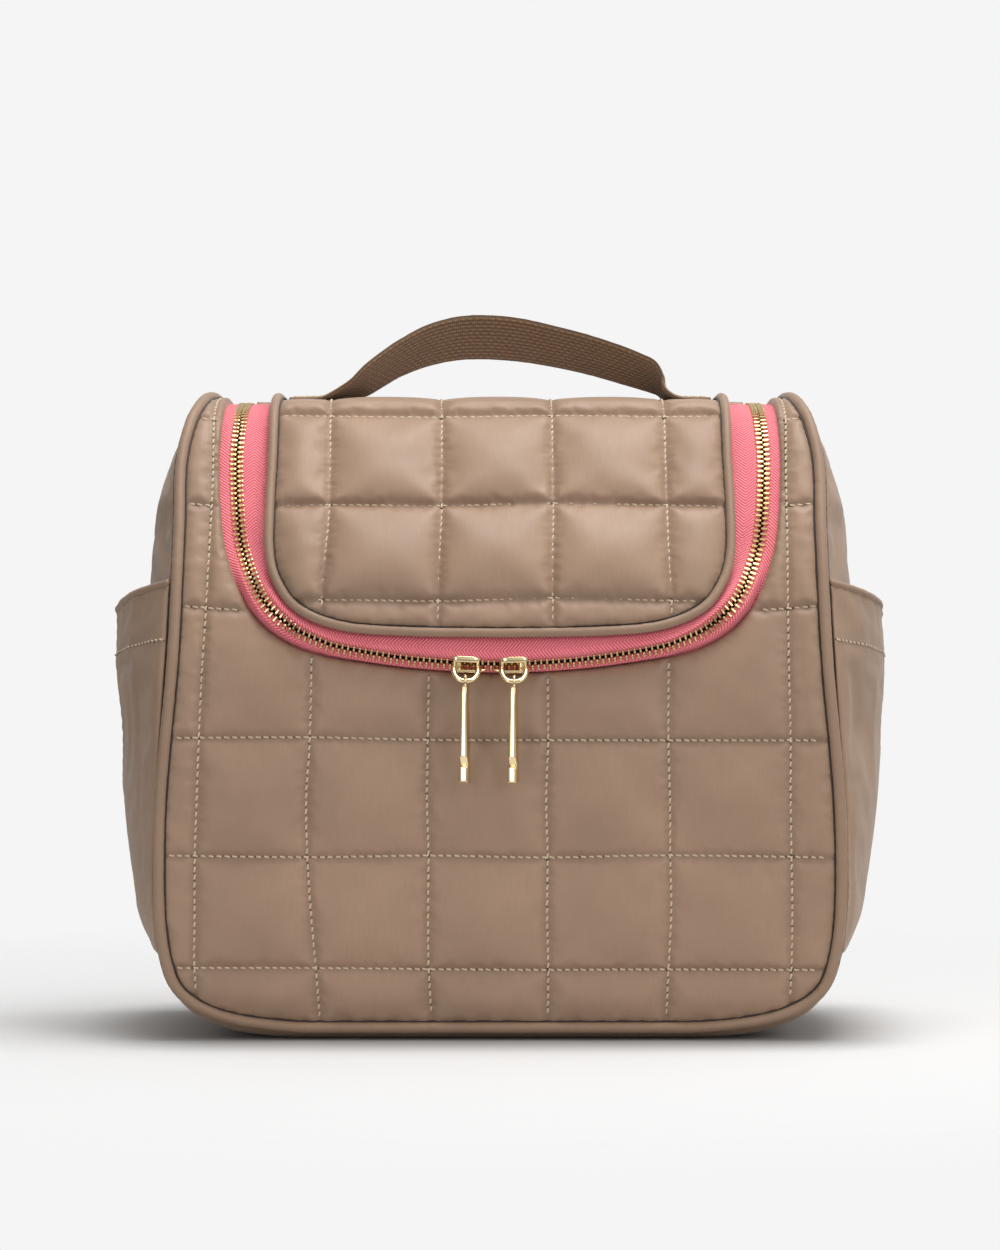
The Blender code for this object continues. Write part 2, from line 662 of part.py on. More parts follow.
def main():
    clear_scene()
    fabric = make_material("taupe_fabric", (0.33, 0.24, 0.175), 0.62)
    cord = make_material("taupe_piping", (0.31, 0.22, 0.16), 0.6)
    cloth = make_material("lining_cloth", (0.62, 0.25, 0.25), 0.8)
    tape = make_material("coral_tape", (0.82, 0.18, 0.21), 0.8)
    webbing = make_material("brown_webbing", (0.12, 0.07, 0.045), 0.75)
    metal = make_material("gold_metal", (0.83, 0.66, 0.38), 0.22, 1.0)
    board = make_material("stiff_board", (0.25, 0.2, 0.16), 0.8)

    front_sheet("front_panel", 0.3, SEAM_INSET, 0.0, PANEL, 7, fabric)
    front_sheet("front_lining", 2.5, 6.0, 3.8, LINING, 6, cloth)
    back_sheet("back_panel", SEAM_INSET, 0.0, PANEL, 8, fabric)
    back_sheet("back_lining", 6.0, 3.8, LINING, 6, cloth)
    for side, sign in (("left", 1.0), ("right", -1.0)):
        gusset_sheet(side + "_side_panel", sign, 0, SEAM_INSET, 0.0, PANEL, fabric)
        gusset_sheet(side + "_lining", sign, 1, 7.0, 3.8, LINING, cloth)
        gusset_sheet(side + "_pocket", sign, POCKET_FROM, SEAM_INSET + 0.2, -2.2 - GAP, PANEL - 0.4, fabric, 1.0)
    base_sheet("base_panel", SEAM_INSET, 0.0, PANEL, fabric)
    slab("base_board", grid(5, 3, lambda i, j: np.array([-84.0 + 42.0 * i, -36.0 + 36.0 * j, 4.8])),
         grid(5, 3, lambda i, j: np.array([-84.0 + 42.0 * i, -36.0 + 36.0 * j, 2.7])), board)
    base_sheet("base_lining", 8.0, 5.2, LINING, cloth)

    outline = [wrap.point(x, s, 0.0) for x, s in outline_xs]
    tube("front_piping", outline, PIPING_R, 8, cord)
    rear = [np.array([x, back.s_at_height(z)]) for x, z in BACK_OUTLINE]
    rear = list(spline(rear, 2))
    loop = [back.point(-x, s, 0.0) for x, s in rear] + [back.point(x, s, 0.0) for x, s in reversed(rear[:-1])]
    loop += [back.point(x, rear[0][1], 0.0) for x in (50.0, 0.0, -50.0)]
    tube("back_piping", loop, PIPING_R, 8, cord, loop=True)
    tube("rear_binding", [np.array([x, HINGE_Y, HINGE_Z]) for x in (-97.0, -50.0, 0.0, 50.0, 97.0)], 3.0, 10, cord)

    mouth_line = np.array([wrap.point(x, s, -3.1) for x, s in mouth_xs])
    lid_line = np.array([lid_point(x, s, -3.2) for x, s in lid_xs])
    tape_sheet("body_zip_tape", 1.0, mouth_line, tape)
    tape_sheet("lid_zip_tape", -1.0, lid_line, tape)
    half_chain("body_zip_teeth", 1.0, metal)
    half_chain("lid_zip_teeth", -1.0, metal)

    lid_sheet("lid_panel", 0.0, 0.0, PANEL, 16, fabric)
    lid_sheet("lid_lining", 3.0, 3.9, LINING, 12, cloth)
    tube("lid_piping", [lid_point(x, s, 0.0) for x, s in lid_xs], LID_PIPING_R, 8, cord)
    make_foot("left_handle_foot", -1.0, webbing)
    make_foot("right_handle_foot", 1.0, webbing)
    make_handle(webbing)

    make_slider("left_slider", SLIDER_LEFT_X, 1.0, metal)
    make_slider("right_slider", SLIDER_RIGHT_X, -1.0, metal)
    make_pull("left_pull", SLIDER_LEFT_X, metal)
    make_pull("right_pull", SLIDER_RIGHT_X, metal)


main()
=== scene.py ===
"""Quilted makeup bag with a zip-round lid: the visible model, in metres, +Z up, front towards -Y.

Shapes are worked out in millimetres and turned into metres when a mesh is made.
"""

import math
import random

import bpy
import numpy as np
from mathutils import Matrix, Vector, geometry, kdtree, noise


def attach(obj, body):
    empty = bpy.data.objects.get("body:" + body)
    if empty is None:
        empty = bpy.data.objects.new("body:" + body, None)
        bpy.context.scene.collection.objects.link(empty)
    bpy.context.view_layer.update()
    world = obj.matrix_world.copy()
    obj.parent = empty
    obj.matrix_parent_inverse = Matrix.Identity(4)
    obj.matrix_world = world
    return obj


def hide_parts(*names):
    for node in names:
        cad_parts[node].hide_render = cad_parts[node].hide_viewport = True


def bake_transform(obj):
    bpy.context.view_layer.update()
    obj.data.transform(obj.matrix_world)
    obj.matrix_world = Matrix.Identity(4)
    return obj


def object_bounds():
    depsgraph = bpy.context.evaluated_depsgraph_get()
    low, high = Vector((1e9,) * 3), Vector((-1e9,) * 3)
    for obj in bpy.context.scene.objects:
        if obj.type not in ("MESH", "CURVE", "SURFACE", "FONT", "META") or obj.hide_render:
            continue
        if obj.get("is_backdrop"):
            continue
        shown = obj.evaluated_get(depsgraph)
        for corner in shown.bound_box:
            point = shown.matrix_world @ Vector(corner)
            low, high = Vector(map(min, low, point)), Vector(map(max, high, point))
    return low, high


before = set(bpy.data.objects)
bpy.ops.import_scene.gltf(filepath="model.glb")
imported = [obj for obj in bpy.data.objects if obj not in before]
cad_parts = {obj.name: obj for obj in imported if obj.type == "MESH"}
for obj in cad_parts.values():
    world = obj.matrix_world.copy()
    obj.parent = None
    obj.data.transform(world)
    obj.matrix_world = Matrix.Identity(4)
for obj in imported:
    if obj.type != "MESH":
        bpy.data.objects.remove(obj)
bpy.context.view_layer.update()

MM = 0.001
scene = bpy.context.scene

# ---------------------------------------------------------------- shared dimensions, mm
PIPING_R = 2.2
LID_PIPING_R = 1.85
CHAIN_SINK = 2.9
ZIP_R, ZIP_Y, ZIP_Z, ZIP_ARC_X = 300.0, -67.5, 148.0, 66.0
HINGE_Y, HINGE_Z = 48.0, 246.0
SLIDER_X = {"left": -13.2, "right": 5.4}
BRIDGE_TOP = 9.7

WRAP = [(-57.5, 5.0), (-62.5, 30.0), (-65.5, 62.0), (-66.3, 100.0), (-64.6, 135.0), (-62.6, 155.0),
        (-57.0, 178.0), (-47.0, 200.0), (-34.5, 220.0), (-22.5, 237.0), (-11.0, 247.0),
        (4.0, 251.6), (24.0, 252.2), (44.0, 249.0)]
BACK = [(57.5, 5.0), (61.0, 30.0), (63.5, 62.0), (64.3, 100.0), (64.0, 150.0), (62.0, 190.0),
        (58.5, 220.0), (54.0, 240.5)]
OUTLINE = [("t", 112.5, 43.0), ("t", 116.0, 20.0), ("t", 119.5, -4.0), (123.6, 241.0), (126.4, 225.0),
           (126.4, 198.0), (128.0, 152.0), (133.2, 88.0), (131.8, 36.0), (119.0, 14.0), (80.0, 5.2), (0.0, 5.0)]
MOUTH = [("t", 107.0, 43.0), ("t", 108.5, 20.0), ("t", 109.6, -4.0), (110.4, 241.0), (110.8, 228.0),
         (109.6, 208.0), (106.4, 190.0), (97.0, 168.6), (78.0, 154.6), (48.0, 148.6), (22.6, 146.0), (0.0, 145.4)]
CHAIN = [("t", 100.6, 43.0), ("t", 102.0, 20.0), ("t", 103.0, -4.0), (103.9, 241.0), (104.5, 228.0),
         (103.4, 208.0), (100.6, 192.0), (93.0, 174.0), (81.0, 162.3)]
LID_EDGE = [("t", 87.6, 43.0), ("t", 89.2, 20.0), ("t", 89.9, -4.0), (90.1, 241.0), (90.2, 228.0),
            (90.8, 208.0), (90.6, 192.0), (87.6, 180.0), (79.0, 168.6), (62.0, 161.6), (36.0, 159.4), (0.0, 158.9)]
BACK_OUTLINE = [(100.0, 240.5), (108.5, 236.0), (113.5, 228.0), (117.0, 214.0), (121.0, 190.0), (124.0, 155.0),
                (128.0, 105.0), (130.0, 64.0), (128.0, 37.0), (122.0, 22.0), (110.0, 11.0), (92.0, 6.0),
                (70.0, 5.0), (0.0, 5.0)]
GUSSET = [(("t", 113.4, 38.0), (111.5, 232.0), 0.5, 0.0), (("t", 116.6, 16.0), (116.3, 217.0), 2.0, 0.0),
          (("t", 119.9, -6.0), (119.6, 200.0), 5.0, 0.0), ((124.2, 238.0), (121.6, 186.0), 8.5, 0.0),
          ((126.5, 222.0), (122.6, 175.0), 11.5, 0.0), ((126.3, 204.0), (123.4, 163.0), 12.5, 0.0),
          ((126.8, 180.0), (124.2, 151.0), 12.5, 12.0), ((128.2, 152.0), (125.4, 135.0), 11.0, 12.0),
          ((130.3, 122.0), (127.0, 113.0), 9.0, 10.5), ((132.4, 92.0), (128.6, 88.0), 7.0, 9.5),
          ((133.4, 62.0), (130.0, 61.0), 5.0, 7.0), ((132.4, 42.0), (128.8, 42.0), 3.5, 6.0),
          ((131.0, 33.0), (127.3, 33.0), 1.5, 0.0)]
POCKET_FROM = 6


# ---------------------------------------------------------------- curves and surfaces
def spline(points, per):
    """Catmull-Rom curve through the points with 'per' steps between each two."""
    points = [np.array(p, dtype=float) for p in points]
    ends = [2 * points[0] - points[1]] + points + [2 * points[-1] - points[-2]]
    out = []
    for i in range(len(points) - 1):
        a, b, c, d = ends[i:i + 4]
        for k in range(per):
            t = k / per
            out.append(0.5 * (2 * b + (c - a) * t + (2 * a - 5 * b + 4 * c - d) * t ** 2
                              + (3 * b - 3 * c + d - a) * t ** 3))
    out.append(points[-1])
    return np.array(out)


class Profile:
    """A smooth (y, z) profile with its arc length and outward normal."""

    def __init__(self, points, outward):
        self.yz = spline(points, 16)
        steps = np.linalg.norm(np.diff(self.yz, axis=0), axis=1)
        self.s = np.concatenate([[0.0], np.cumsum(steps)])
        self.length = float(self.s[-1])
        self.outward = outward

    def at(self, s):
        return np.stack([np.interp(s, self.s, self.yz[:, 0]), np.interp(s, self.s, self.yz[:, 1])], axis=-1)

    def normal(self, s):
        s = np.asarray(s, dtype=float)
        step = self.at(np.minimum(s + 2.0, self.length)) - self.at(np.maximum(s - 2.0, 0.0))
        step /= np.linalg.norm(step, axis=-1, keepdims=True)
        return self.outward * np.stack([-step[..., 1], step[..., 0]], axis=-1)

    def s_at_height(self, z):
        top = int(np.argmax(self.yz[:, 1]))
        return np.interp(z, self.yz[:top + 1, 1], self.s[:top + 1])

    def s_at_depth(self, y):
        half = len(self.yz) // 2
        return np.interp(y, self.yz[half:, 0], self.s[half:])

    def point(self, x, s, off):
        x, s, off = np.broadcast_arrays(np.asarray(x, float), np.asarray(s, float), np.asarray(off, float))
        yz = self.at(s) + off[..., None] * self.normal(s)
        return np.concatenate([x[..., None], yz], axis=-1)


wrap = Profile(WRAP, 1.0)
back = Profile(BACK, -1.0)


def station(entry):
    """Turn a station entry into (x, s) on the wrap."""
    if entry[0] == "t":
        return (entry[1], float(wrap.s_at_depth(entry[2])))
    return (entry[0], float(wrap.s_at_height(entry[1])))


def both_halves(half):
    """Mirror a rear-to-bottom half curve into the whole U."""
    half = [tuple(p) for p in half]
    left = [(-x, *rest) for x, *rest in half]
    return np.array(left + [tuple(p) for p in reversed(half[:-1])])


def resample(curve, step):
    """Return the curve at about even steps."""
    curve = np.asarray(curve, dtype=float)
    lengths = np.linalg.norm(np.diff(curve, axis=0), axis=1)
    s = np.concatenate([[0.0], np.cumsum(lengths)])
    count = max(2, int(round(s[-1] / step)) + 1)
    even = np.linspace(0.0, s[-1], count)
    return np.stack([np.interp(even, s, curve[:, k]) for k in range(curve.shape[1])], axis=1)


def inset(curve, distance):
    """Move a U curve sideways, towards its middle when the distance is positive."""
    ahead = np.vstack([curve[1:], curve[-1:]])
    behind = np.vstack([curve[:1], curve[:-1]])
    tangent = ahead - behind
    tangent /= np.linalg.norm(tangent, axis=1, keepdims=True)
    return curve + distance * np.stack([-tangent[:, 1], tangent[:, 0]], axis=1)


outline_xs = both_halves(np.maximum(spline([station(e) for e in OUTLINE], 10), 0.0))
mouth_xs = both_halves(spline([station(e) for e in MOUTH], 10))
lid_xs = both_halves(spline([station(e) for e in LID_EDGE], 10))


def lid_bump(x, z):
    """Return how far the lid stands proud of the wrap."""
    fade = np.clip((z - 162.0) / 78.0, 0.0, 1.0)
    fade = 1.0 - fade * fade * (3.0 - 2.0 * fade)
    return 9.0 * fade * (1.0 - 0.75 * np.minimum(np.abs(x) / 91.0, 1.0) ** 6)


def lid_point(x, s, off):
    x, s, off = np.broadcast_arrays(np.asarray(x, float), np.asarray(s, float), np.asarray(off, float))
    return wrap.point(x, s, off + lid_bump(x, wrap.at(s)[..., 1]))


def chain_curve():
    """Return the zip's centre line with its cross direction (away from the lid) and normal."""
    lead = []
    for entry in CHAIN:
        x, s = station(entry)
        z = float(wrap.at(s)[1])
        low = min(max((190.0 - z) / 34.0, 0.0), 1.0) if entry[0] != "t" else 0.0
        sunk = wrap.point(x, s, -CHAIN_SINK)
        y = sunk[1] * (1.0 - low) + ZIP_Y * low
        lead.append((x, y, sunk[2] * (1.0 - low) + z * low))
    arc_x = np.linspace(ZIP_ARC_X, 0.0, 40)
    arc = [(x, ZIP_Y, ZIP_Z + ZIP_R - math.sqrt(ZIP_R ** 2 - x * x)) for x in arc_x]
    half = list(spline(lead + [arc[0]], 12)) + arc[1:]
    points = resample(both_halves(half), 1.2)
    reach = np.array([ZIP_Y - HINGE_Y, ZIP_Z - HINGE_Z])
    reach /= np.linalg.norm(reach)
    crosses, normals = [], []
    for i, p in enumerate(points):
        tangent = points[min(i + 1, len(points) - 1)] - points[max(i - 1, 0)]
        tangent /= np.linalg.norm(tangent)
        spoke = np.array([-p[0], 0.0, ZIP_Z + ZIP_R - p[2]])
        spoke /= np.linalg.norm(spoke)
        low_n = np.array([0.0, reach[0], 0.0]) + reach[1] * spoke
        s = wrap.s_at_depth(p[1]) if p[1] > -15.0 else wrap.s_at_height(p[2])
        flat = np.array([0.0, *wrap.normal(s)])
        mix = min(max((abs(p[0]) - ZIP_ARC_X - 4.0) / 30.0, 0.0), 1.0)
        normal = low_n * (1.0 - mix) + flat * mix
        normal -= tangent * np.dot(normal, tangent)
        normal /= np.linalg.norm(normal)
        crosses.append(np.cross(tangent, normal))
        normals.append(normal)
    return points, np.array(crosses), np.array(normals)


chain, chain_cross, chain_up = chain_curve()


# ---------------------------------------------------------------- materials
def new_material(name, colour, roughness, metallic=0.0):
    """Return (material, nodes, links, shader) with a Principled shader."""
    material = bpy.data.materials.new(name)
    material.use_nodes = True
    nodes, links = material.node_tree.nodes, material.node_tree.links
    shader = nodes["Principled BSDF"]
    shader.inputs["Base Color"].default_value = (*colour, 1.0)
    shader.inputs["Roughness"].default_value = roughness
    shader.inputs["Metallic"].default_value = metallic
    return material, nodes, links, shader


def add_node(nodes, kind, **values):
    """Add a node and set its properties and inputs."""
    node = nodes.new(kind)
    for key, value in values.items():
        if key in node.inputs:
            node.inputs[key].default_value = value
        else:
            setattr(node, key, value)
    return node


def scaled(nodes, links, source, scale):
    """Return a Mapping output that scales the given coordinates."""
    node = nodes.new("ShaderNodeMapping")
    node.inputs["Scale"].default_value = scale
    links.new(source, node.inputs["Vector"])
    return node.outputs["Vector"]


def ramp(nodes, links, source, low, high):
    """Return a Map Range output from 0..1 to low..high."""
    node = nodes.new("ShaderNodeMapRange")
    node.inputs["To Min"].default_value = low
    node.inputs["To Max"].default_value = high
    links.new(source, node.inputs["Value"])
    return node.outputs["Result"]


def mix_colour(nodes, links, factor, a, b):
    """Return a colour mixed between a and b, each a colour or an output."""
    node = nodes.new("ShaderNodeMix")
    node.data_type = "RGBA"
    for value, key in ((a, 6), (b, 7)):
        if isinstance(value, tuple):
            node.inputs[key].default_value = (*value, 1.0)
        else:
            links.new(value, node.inputs[key])
    if isinstance(factor, float):
        node.inputs[0].default_value = factor
    else:
        links.new(factor, node.inputs[0])
    return node.outputs[2]


def bump(nodes, links, height, strength, distance, previous=None):
    """Return a Bump normal."""
    node = nodes.new("ShaderNodeBump")
    node.inputs["Strength"].default_value = strength
    node.inputs["Distance"].default_value = distance
    links.new(height, node.inputs["Height"])
    if previous is not None:
        links.new(previous, node.inputs["Normal"])
    return node.outputs["Normal"]


def satin(name, colour, roughness=0.46, weave=1.0, seam_shade=0.35):
    """Nylon satin: fine ribbed weave, soft streaks and slight blotches; the 'seam' attribute darkens the colour as
    painted shade in the stitched valleys. UV is in centimetres.
    """
    material, nodes, links, shader = new_material(name, colour, roughness)
    coords = nodes.new("ShaderNodeTexCoord")
    uv, where = coords.outputs["UV"], coords.outputs["Object"]
    dark = tuple(c * 0.80 for c in colour)
    light = tuple(min(1.0, c * 1.10) for c in colour)
    blotch = add_node(nodes, "ShaderNodeTexNoise", Scale=26.0, Detail=3.0, Roughness=0.55)
    links.new(where, blotch.inputs["Vector"])
    streak = add_node(nodes, "ShaderNodeTexNoise", Scale=1.0, Detail=4.0, Roughness=0.65)
    links.new(scaled(nodes, links, uv, (16.0, 1.1, 1.0)), streak.inputs["Vector"])
    rib = add_node(nodes, "ShaderNodeTexWave", Scale=1.0, Distortion=1.4, Detail=2.0)
    rib.inputs["Detail Scale"].default_value = 1.6
    links.new(scaled(nodes, links, uv, (7.2, 1.3, 1.0)), rib.inputs["Vector"])
    cross = add_node(nodes, "ShaderNodeTexNoise", Scale=1.0, Detail=2.0, Roughness=0.6)
    links.new(scaled(nodes, links, uv, (9.0, 42.0, 1.0)), cross.inputs["Vector"])
    tone = mix_colour(nodes, links, ramp(nodes, links, blotch.outputs[0], -0.25, 1.15), dark, light)
    tone = mix_colour(nodes, links, ramp(nodes, links, streak.outputs[0], -0.35, 0.75), tone, dark)
    if seam_shade:
        # Painted shade: darker where the 'seam' attribute is high, in the stitched valleys and the tucked rims.
        seam = add_node(nodes, "ShaderNodeAttribute", attribute_name="seam")
        tone = mix_colour(nodes, links, ramp(nodes, links, seam.outputs["Fac"], 0.0, seam_shade), tone,
                          tuple(c * 0.42 for c in colour))
    links.new(tone, shader.inputs["Base Color"])
    links.new(ramp(nodes, links, streak.outputs[0], roughness - 0.12, roughness + 0.14), shader.inputs["Roughness"])
    shader.inputs["Sheen Weight"].default_value = 0.22
    shader.inputs["Sheen Roughness"].default_value = 0.38
    shader.inputs["Sheen Tint"].default_value = (0.95, 0.86, 0.78, 1.0)
    shader.inputs["Specular IOR Level"].default_value = 0.42
    soft = bump(nodes, links, rib.outputs[1], 0.16 * weave, 0.00012)
    soft = bump(nodes, links, cross.outputs[0], 0.22 * weave, 0.00010, soft)
    links.new(bump(nodes, links, streak.outputs[0], 0.20 * weave, 0.0003, soft), shader.inputs["Normal"])
    return material


def thread_material(name, colour):
    """Twisted sewing thread; where the 'seam' attribute is high the colour is painted near black, as shade in the
    needle holes.
    """
    material, nodes, links, shader = new_material(name, colour, 0.55)
    coords = nodes.new("ShaderNodeTexCoord")
    twist = add_node(nodes, "ShaderNodeTexNoise", Scale=900.0, Detail=2.0)
    links.new(coords.outputs["Object"], twist.inputs["Vector"])
    tone = mix_colour(nodes, links, ramp(nodes, links, twist.outputs[0], 0.0, 1.0), tuple(c * 0.62 for c in colour),
                      tuple(min(1.0, c * 1.15) for c in colour))
    needle_hole_shade = add_node(nodes, "ShaderNodeAttribute", attribute_name="seam")
    tone = mix_colour(nodes, links, ramp(nodes, links, needle_hole_shade.outputs["Fac"], 0.0, 0.94), tone, (0.020, 0.012, 0.008))
    links.new(tone, shader.inputs["Base Color"])
    shader.inputs["Sheen Weight"].default_value = 0.2
    links.new(bump(nodes, links, twist.outputs[0], 0.5, 0.0002), shader.inputs["Normal"])
    return material


def tape_material(name, colour):
    """Herringbone zip tape. UV x runs across the tape in columns, UV y along it in millimetres."""
    material, nodes, links, shader = new_material(name, colour, 0.7)
    coords = nodes.new("ShaderNodeTexCoord")
    split = nodes.new("ShaderNodeSeparateXYZ")
    links.new(coords.outputs["UV"], split.inputs[0])

    def math_node(kind, a, b=None, c=None):
        node = nodes.new("ShaderNodeMath")
        node.operation = kind
        for k, value in enumerate((a, b, c)):
            if value is None:
                continue
            if isinstance(value, (int, float)):
                node.inputs[k].default_value = value
            else:
                links.new(value, node.inputs[k])
        return node.outputs[0]

    zigzag = math_node("PINGPONG", split.outputs[0], 1.0)
    slant = math_node("MULTIPLY_ADD", zigzag, 3.4, split.outputs[1])
    rib = math_node("SINE", math_node("MULTIPLY", slant, 2.0 * math.pi / 1.35))
    rib = math_node("MULTIPLY_ADD", rib, 0.5, 0.5)
    yarn = add_node(nodes, "ShaderNodeTexNoise", Scale=1400.0, Detail=2.0)
    links.new(coords.outputs["Object"], yarn.inputs["Vector"])
    blotch = add_node(nodes, "ShaderNodeTexNoise", Scale=60.0, Detail=2.0)
    links.new(coords.outputs["Object"], blotch.inputs["Vector"])
    tone = mix_colour(nodes, links, ramp(nodes, links, rib, 0.0, 1.0),
                      tuple(c * f for c, f in zip(colour, (0.74, 0.30, 0.36))),
                      tuple(min(1.0, c * f + 0.02) for c, f in zip(colour, (1.04, 1.35, 1.30))))
    tone = mix_colour(nodes, links, ramp(nodes, links, blotch.outputs[0], -0.4, 0.6), tone,
                      tuple(min(1.0, c * 1.12 + 0.01) for c in colour))
    links.new(tone, shader.inputs["Base Color"])
    shader.inputs["Sheen Weight"].default_value = 0.25
    shader.inputs["Sheen Tint"].default_value = (1.0, 0.75, 0.75, 1.0)
    woven = bump(nodes, links, rib, 0.8, 0.00035)
    links.new(bump(nodes, links, yarn.outputs[0], 0.3, 0.0001, woven), shader.inputs["Normal"])
    return material


def webbing_material(name, colour):
    """Coarse ribbed webbing. UV is in millimetres: x across, y along."""
    material, nodes, links, shader = new_material(name, colour, 0.72)
    coords = nodes.new("ShaderNodeTexCoord")
    split = nodes.new("ShaderNodeSeparateXYZ")
    links.new(coords.outputs["UV"], split.inputs[0])

    def math_node(kind, a, b=None, c=None):
        node = nodes.new("ShaderNodeMath")
        node.operation = kind
        for k, value in enumerate((a, b, c)):
            if value is None:
                continue
            if isinstance(value, (int, float)):
                node.inputs[k].default_value = value
            else:
                links.new(value, node.inputs[k])
        return node.outputs[0]

    rows = math_node("MULTIPLY", split.outputs[0], 2.0 * math.pi / 1.9)
    ribs = math_node("MULTIPLY_ADD", math_node("SINE", rows), 0.5, 0.5)
    odd = math_node("MULTIPLY", math_node("SIGN", math_node("SINE", math_node("MULTIPLY", rows, 0.5))), 0.75)
    knots = math_node("MULTIPLY", math_node("ADD", split.outputs[1], odd), 2.0 * math.pi / 3.0)
    knots = math_node("MULTIPLY_ADD", math_node("SINE", knots), 0.5, 0.5)
    picks = math_node("MULTIPLY_ADD", math_node("SINE", math_node("MULTIPLY", split.outputs[1], 2.0 * math.pi / 0.9)),
                      0.5, 0.5)
    height = math_node("ADD", math_node("MULTIPLY", ribs, math_node("MULTIPLY_ADD", knots, 0.7, 0.3)),
                       math_node("MULTIPLY", picks, 0.25))
    yarn = add_node(nodes, "ShaderNodeTexNoise", Scale=1100.0, Detail=3.0)
    links.new(coords.outputs["Object"], yarn.inputs["Vector"])
    tone = mix_colour(nodes, links, ramp(nodes, links, height, 0.0, 1.0), tuple(c * 0.26 for c in colour),
                      tuple(min(1.0, c * 1.25) for c in colour))
    tone = mix_colour(nodes, links, ramp(nodes, links, yarn.outputs[0], -0.3, 0.7), tone,
                      tuple(c * 0.75 for c in colour))
    links.new(tone, shader.inputs["Base Color"])
    shader.inputs["Sheen Weight"].default_value = 0.12
    rough = bump(nodes, links, height, 1.0, 0.0006)
    links.new(bump(nodes, links, yarn.outputs[0], 0.4, 0.0002, rough), shader.inputs["Normal"])
    return material


def metal_material(name, colour, roughness, wear=1.0):
    """Plated metal with hairline scratches and a little tarnish."""
    material, nodes, links, shader = new_material(name, colour, roughness, 1.0)
    coords = nodes.new("ShaderNodeTexCoord")
    cloud = add_node(nodes, "ShaderNodeTexNoise", Scale=160.0, Detail=3.0)
    links.new(coords.outputs["Object"], cloud.inputs["Vector"])
    hair = add_node(nodes, "ShaderNodeTexNoise", Scale=1.0, Detail=4.0, Roughness=0.7)
    links.new(scaled(nodes, links, coords.outputs["Object"], (2600.0, 2600.0, 220.0)), hair.inputs["Vector"])
    tone = mix_colour(nodes, links, ramp(nodes, links, cloud.outputs[0], -0.3, 0.9), colour,
                      tuple(c * f for c, f in zip(colour, (0.86, 0.80, 0.66))))
    links.new(tone, shader.inputs["Base Color"])
    links.new(ramp(nodes, links, hair.outputs[0], roughness - 0.06, roughness + 0.12), shader.inputs["Roughness"])
    links.new(bump(nodes, links, cloud.outputs[0], 0.08 * wear, 0.0003), shader.inputs["Normal"])
    return material


def board_material(name, colour):
    """Pressed stiffening board: mottled and slightly rough."""
    material, nodes, links, shader = new_material(name, colour, 0.8)
    coords = nodes.new("ShaderNodeTexCoord")
    grain = add_node(nodes, "ShaderNodeTexNoise", Scale=420.0, Detail=5.0)
    links.new(coords.outputs["Object"], grain.inputs["Vector"])
    tone = mix_colour(nodes, links, ramp(nodes, links, grain.outputs[0], 0.0, 1.0), tuple(c * 0.7 for c in colour),
                      tuple(c * 1.25 for c in colour))
    links.new(tone, shader.inputs["Base Color"])
    links.new(bump(nodes, links, grain.outputs[0], 0.4, 0.0004), shader.inputs["Normal"])
    return material


TAUPE = (0.372, 0.240, 0.158)
fabric = satin("taupe_satin", TAUPE)
cord_fabric = satin("taupe_cord", tuple(c * 0.95 for c in TAUPE), 0.48, 1.2, 0.55)
plain_fabric = satin("taupe_plain", TAUPE, 0.44, 1.1, 0.30)
lining_fabric = satin("coral_lining", (0.60, 0.20, 0.20), 0.6, 1.4, 0.0)
lid_tape = tape_material("coral_tape_wide", (0.93, 0.205, 0.250))
thread = thread_material("beige_thread", (0.70, 0.53, 0.36))
# Near-black thread colour for the tubes that stand in for the shade in the creases beside the cords: painted shade.
seam_shadow_paint = thread_material("seam_shadow", (0.030, 0.017, 0.011))
webbing = webbing_material("taupe_webbing", (0.37, 0.225, 0.125))
gold = metal_material("gold_plate", (0.93, 0.77, 0.48), 0.12)
tooth_gold = metal_material("gold_teeth", (0.74, 0.58, 0.31), 0.22)
board = board_material("stiff_board_grey", (0.25, 0.20, 0.16))


# ---------------------------------------------------------------- mesh helpers
def make_object(name, vertices, faces, material, uv=None, seam=None, smooth=True):
    """Add a mesh object from millimetre vertices, with per-vertex UVs and a 'seam' attribute."""
    mesh = bpy.data.meshes.new(name)
    mesh.from_pydata([tuple(p) for p in np.asarray(vertices, float) * MM], [], [tuple(f) for f in faces])
    mesh.materials.append(material)
    if smooth:
        mesh.shade_smooth()
    if uv is not None:
        loops = np.zeros(len(mesh.loops), np.int32)
        mesh.loops.foreach_get("vertex_index", loops)
        layer = mesh.uv_layers.new(name="UVMap")
        layer.data.foreach_set("uv", np.asarray(uv, np.float32)[loops].ravel())
    if seam is not None:
        attribute = mesh.attributes.new("seam", "FLOAT", "POINT")
        attribute.data.foreach_set("value", np.asarray(seam, np.float32))
    mesh.validate()
    thing = bpy.data.objects.new(name, mesh)
    scene.collection.objects.link(thing)
    return thing


def subdivide(thing, levels=1):
    """Add a subdivision surface."""
    modifier = thing.modifiers.new("smooth", "SUBSURF")
    modifier.levels = levels
    modifier.render_levels = levels
    return thing


def inside(loop, points):
    """Return which points lie inside the closed loop."""
    loop = np.asarray(loop)
    result = np.zeros(len(points), bool)
    ahead = np.roll(loop, -1, axis=0)
    for (x0, y0), (x1, y1) in zip(loop, ahead):
        if y0 == y1:
            continue
        crosses = (y0 > points[:, 1]) != (y1 > points[:, 1])
        at = x0 + (points[:, 1] - y0) * (x1 - x0) / (y1 - y0)
        result ^= crosses & (points[:, 0] < at)
    return result


def tree_of(points):
    """Return a KD tree of 2D points."""
    tree = kdtree.KDTree(len(points))
    for i, p in enumerate(points):
        tree.insert((p[0], p[1], 0.0), i)
    tree.balance()
    return tree


def distances(tree, points):
    return np.array([tree.find((p[0], p[1], 0.0))[2] for p in points])


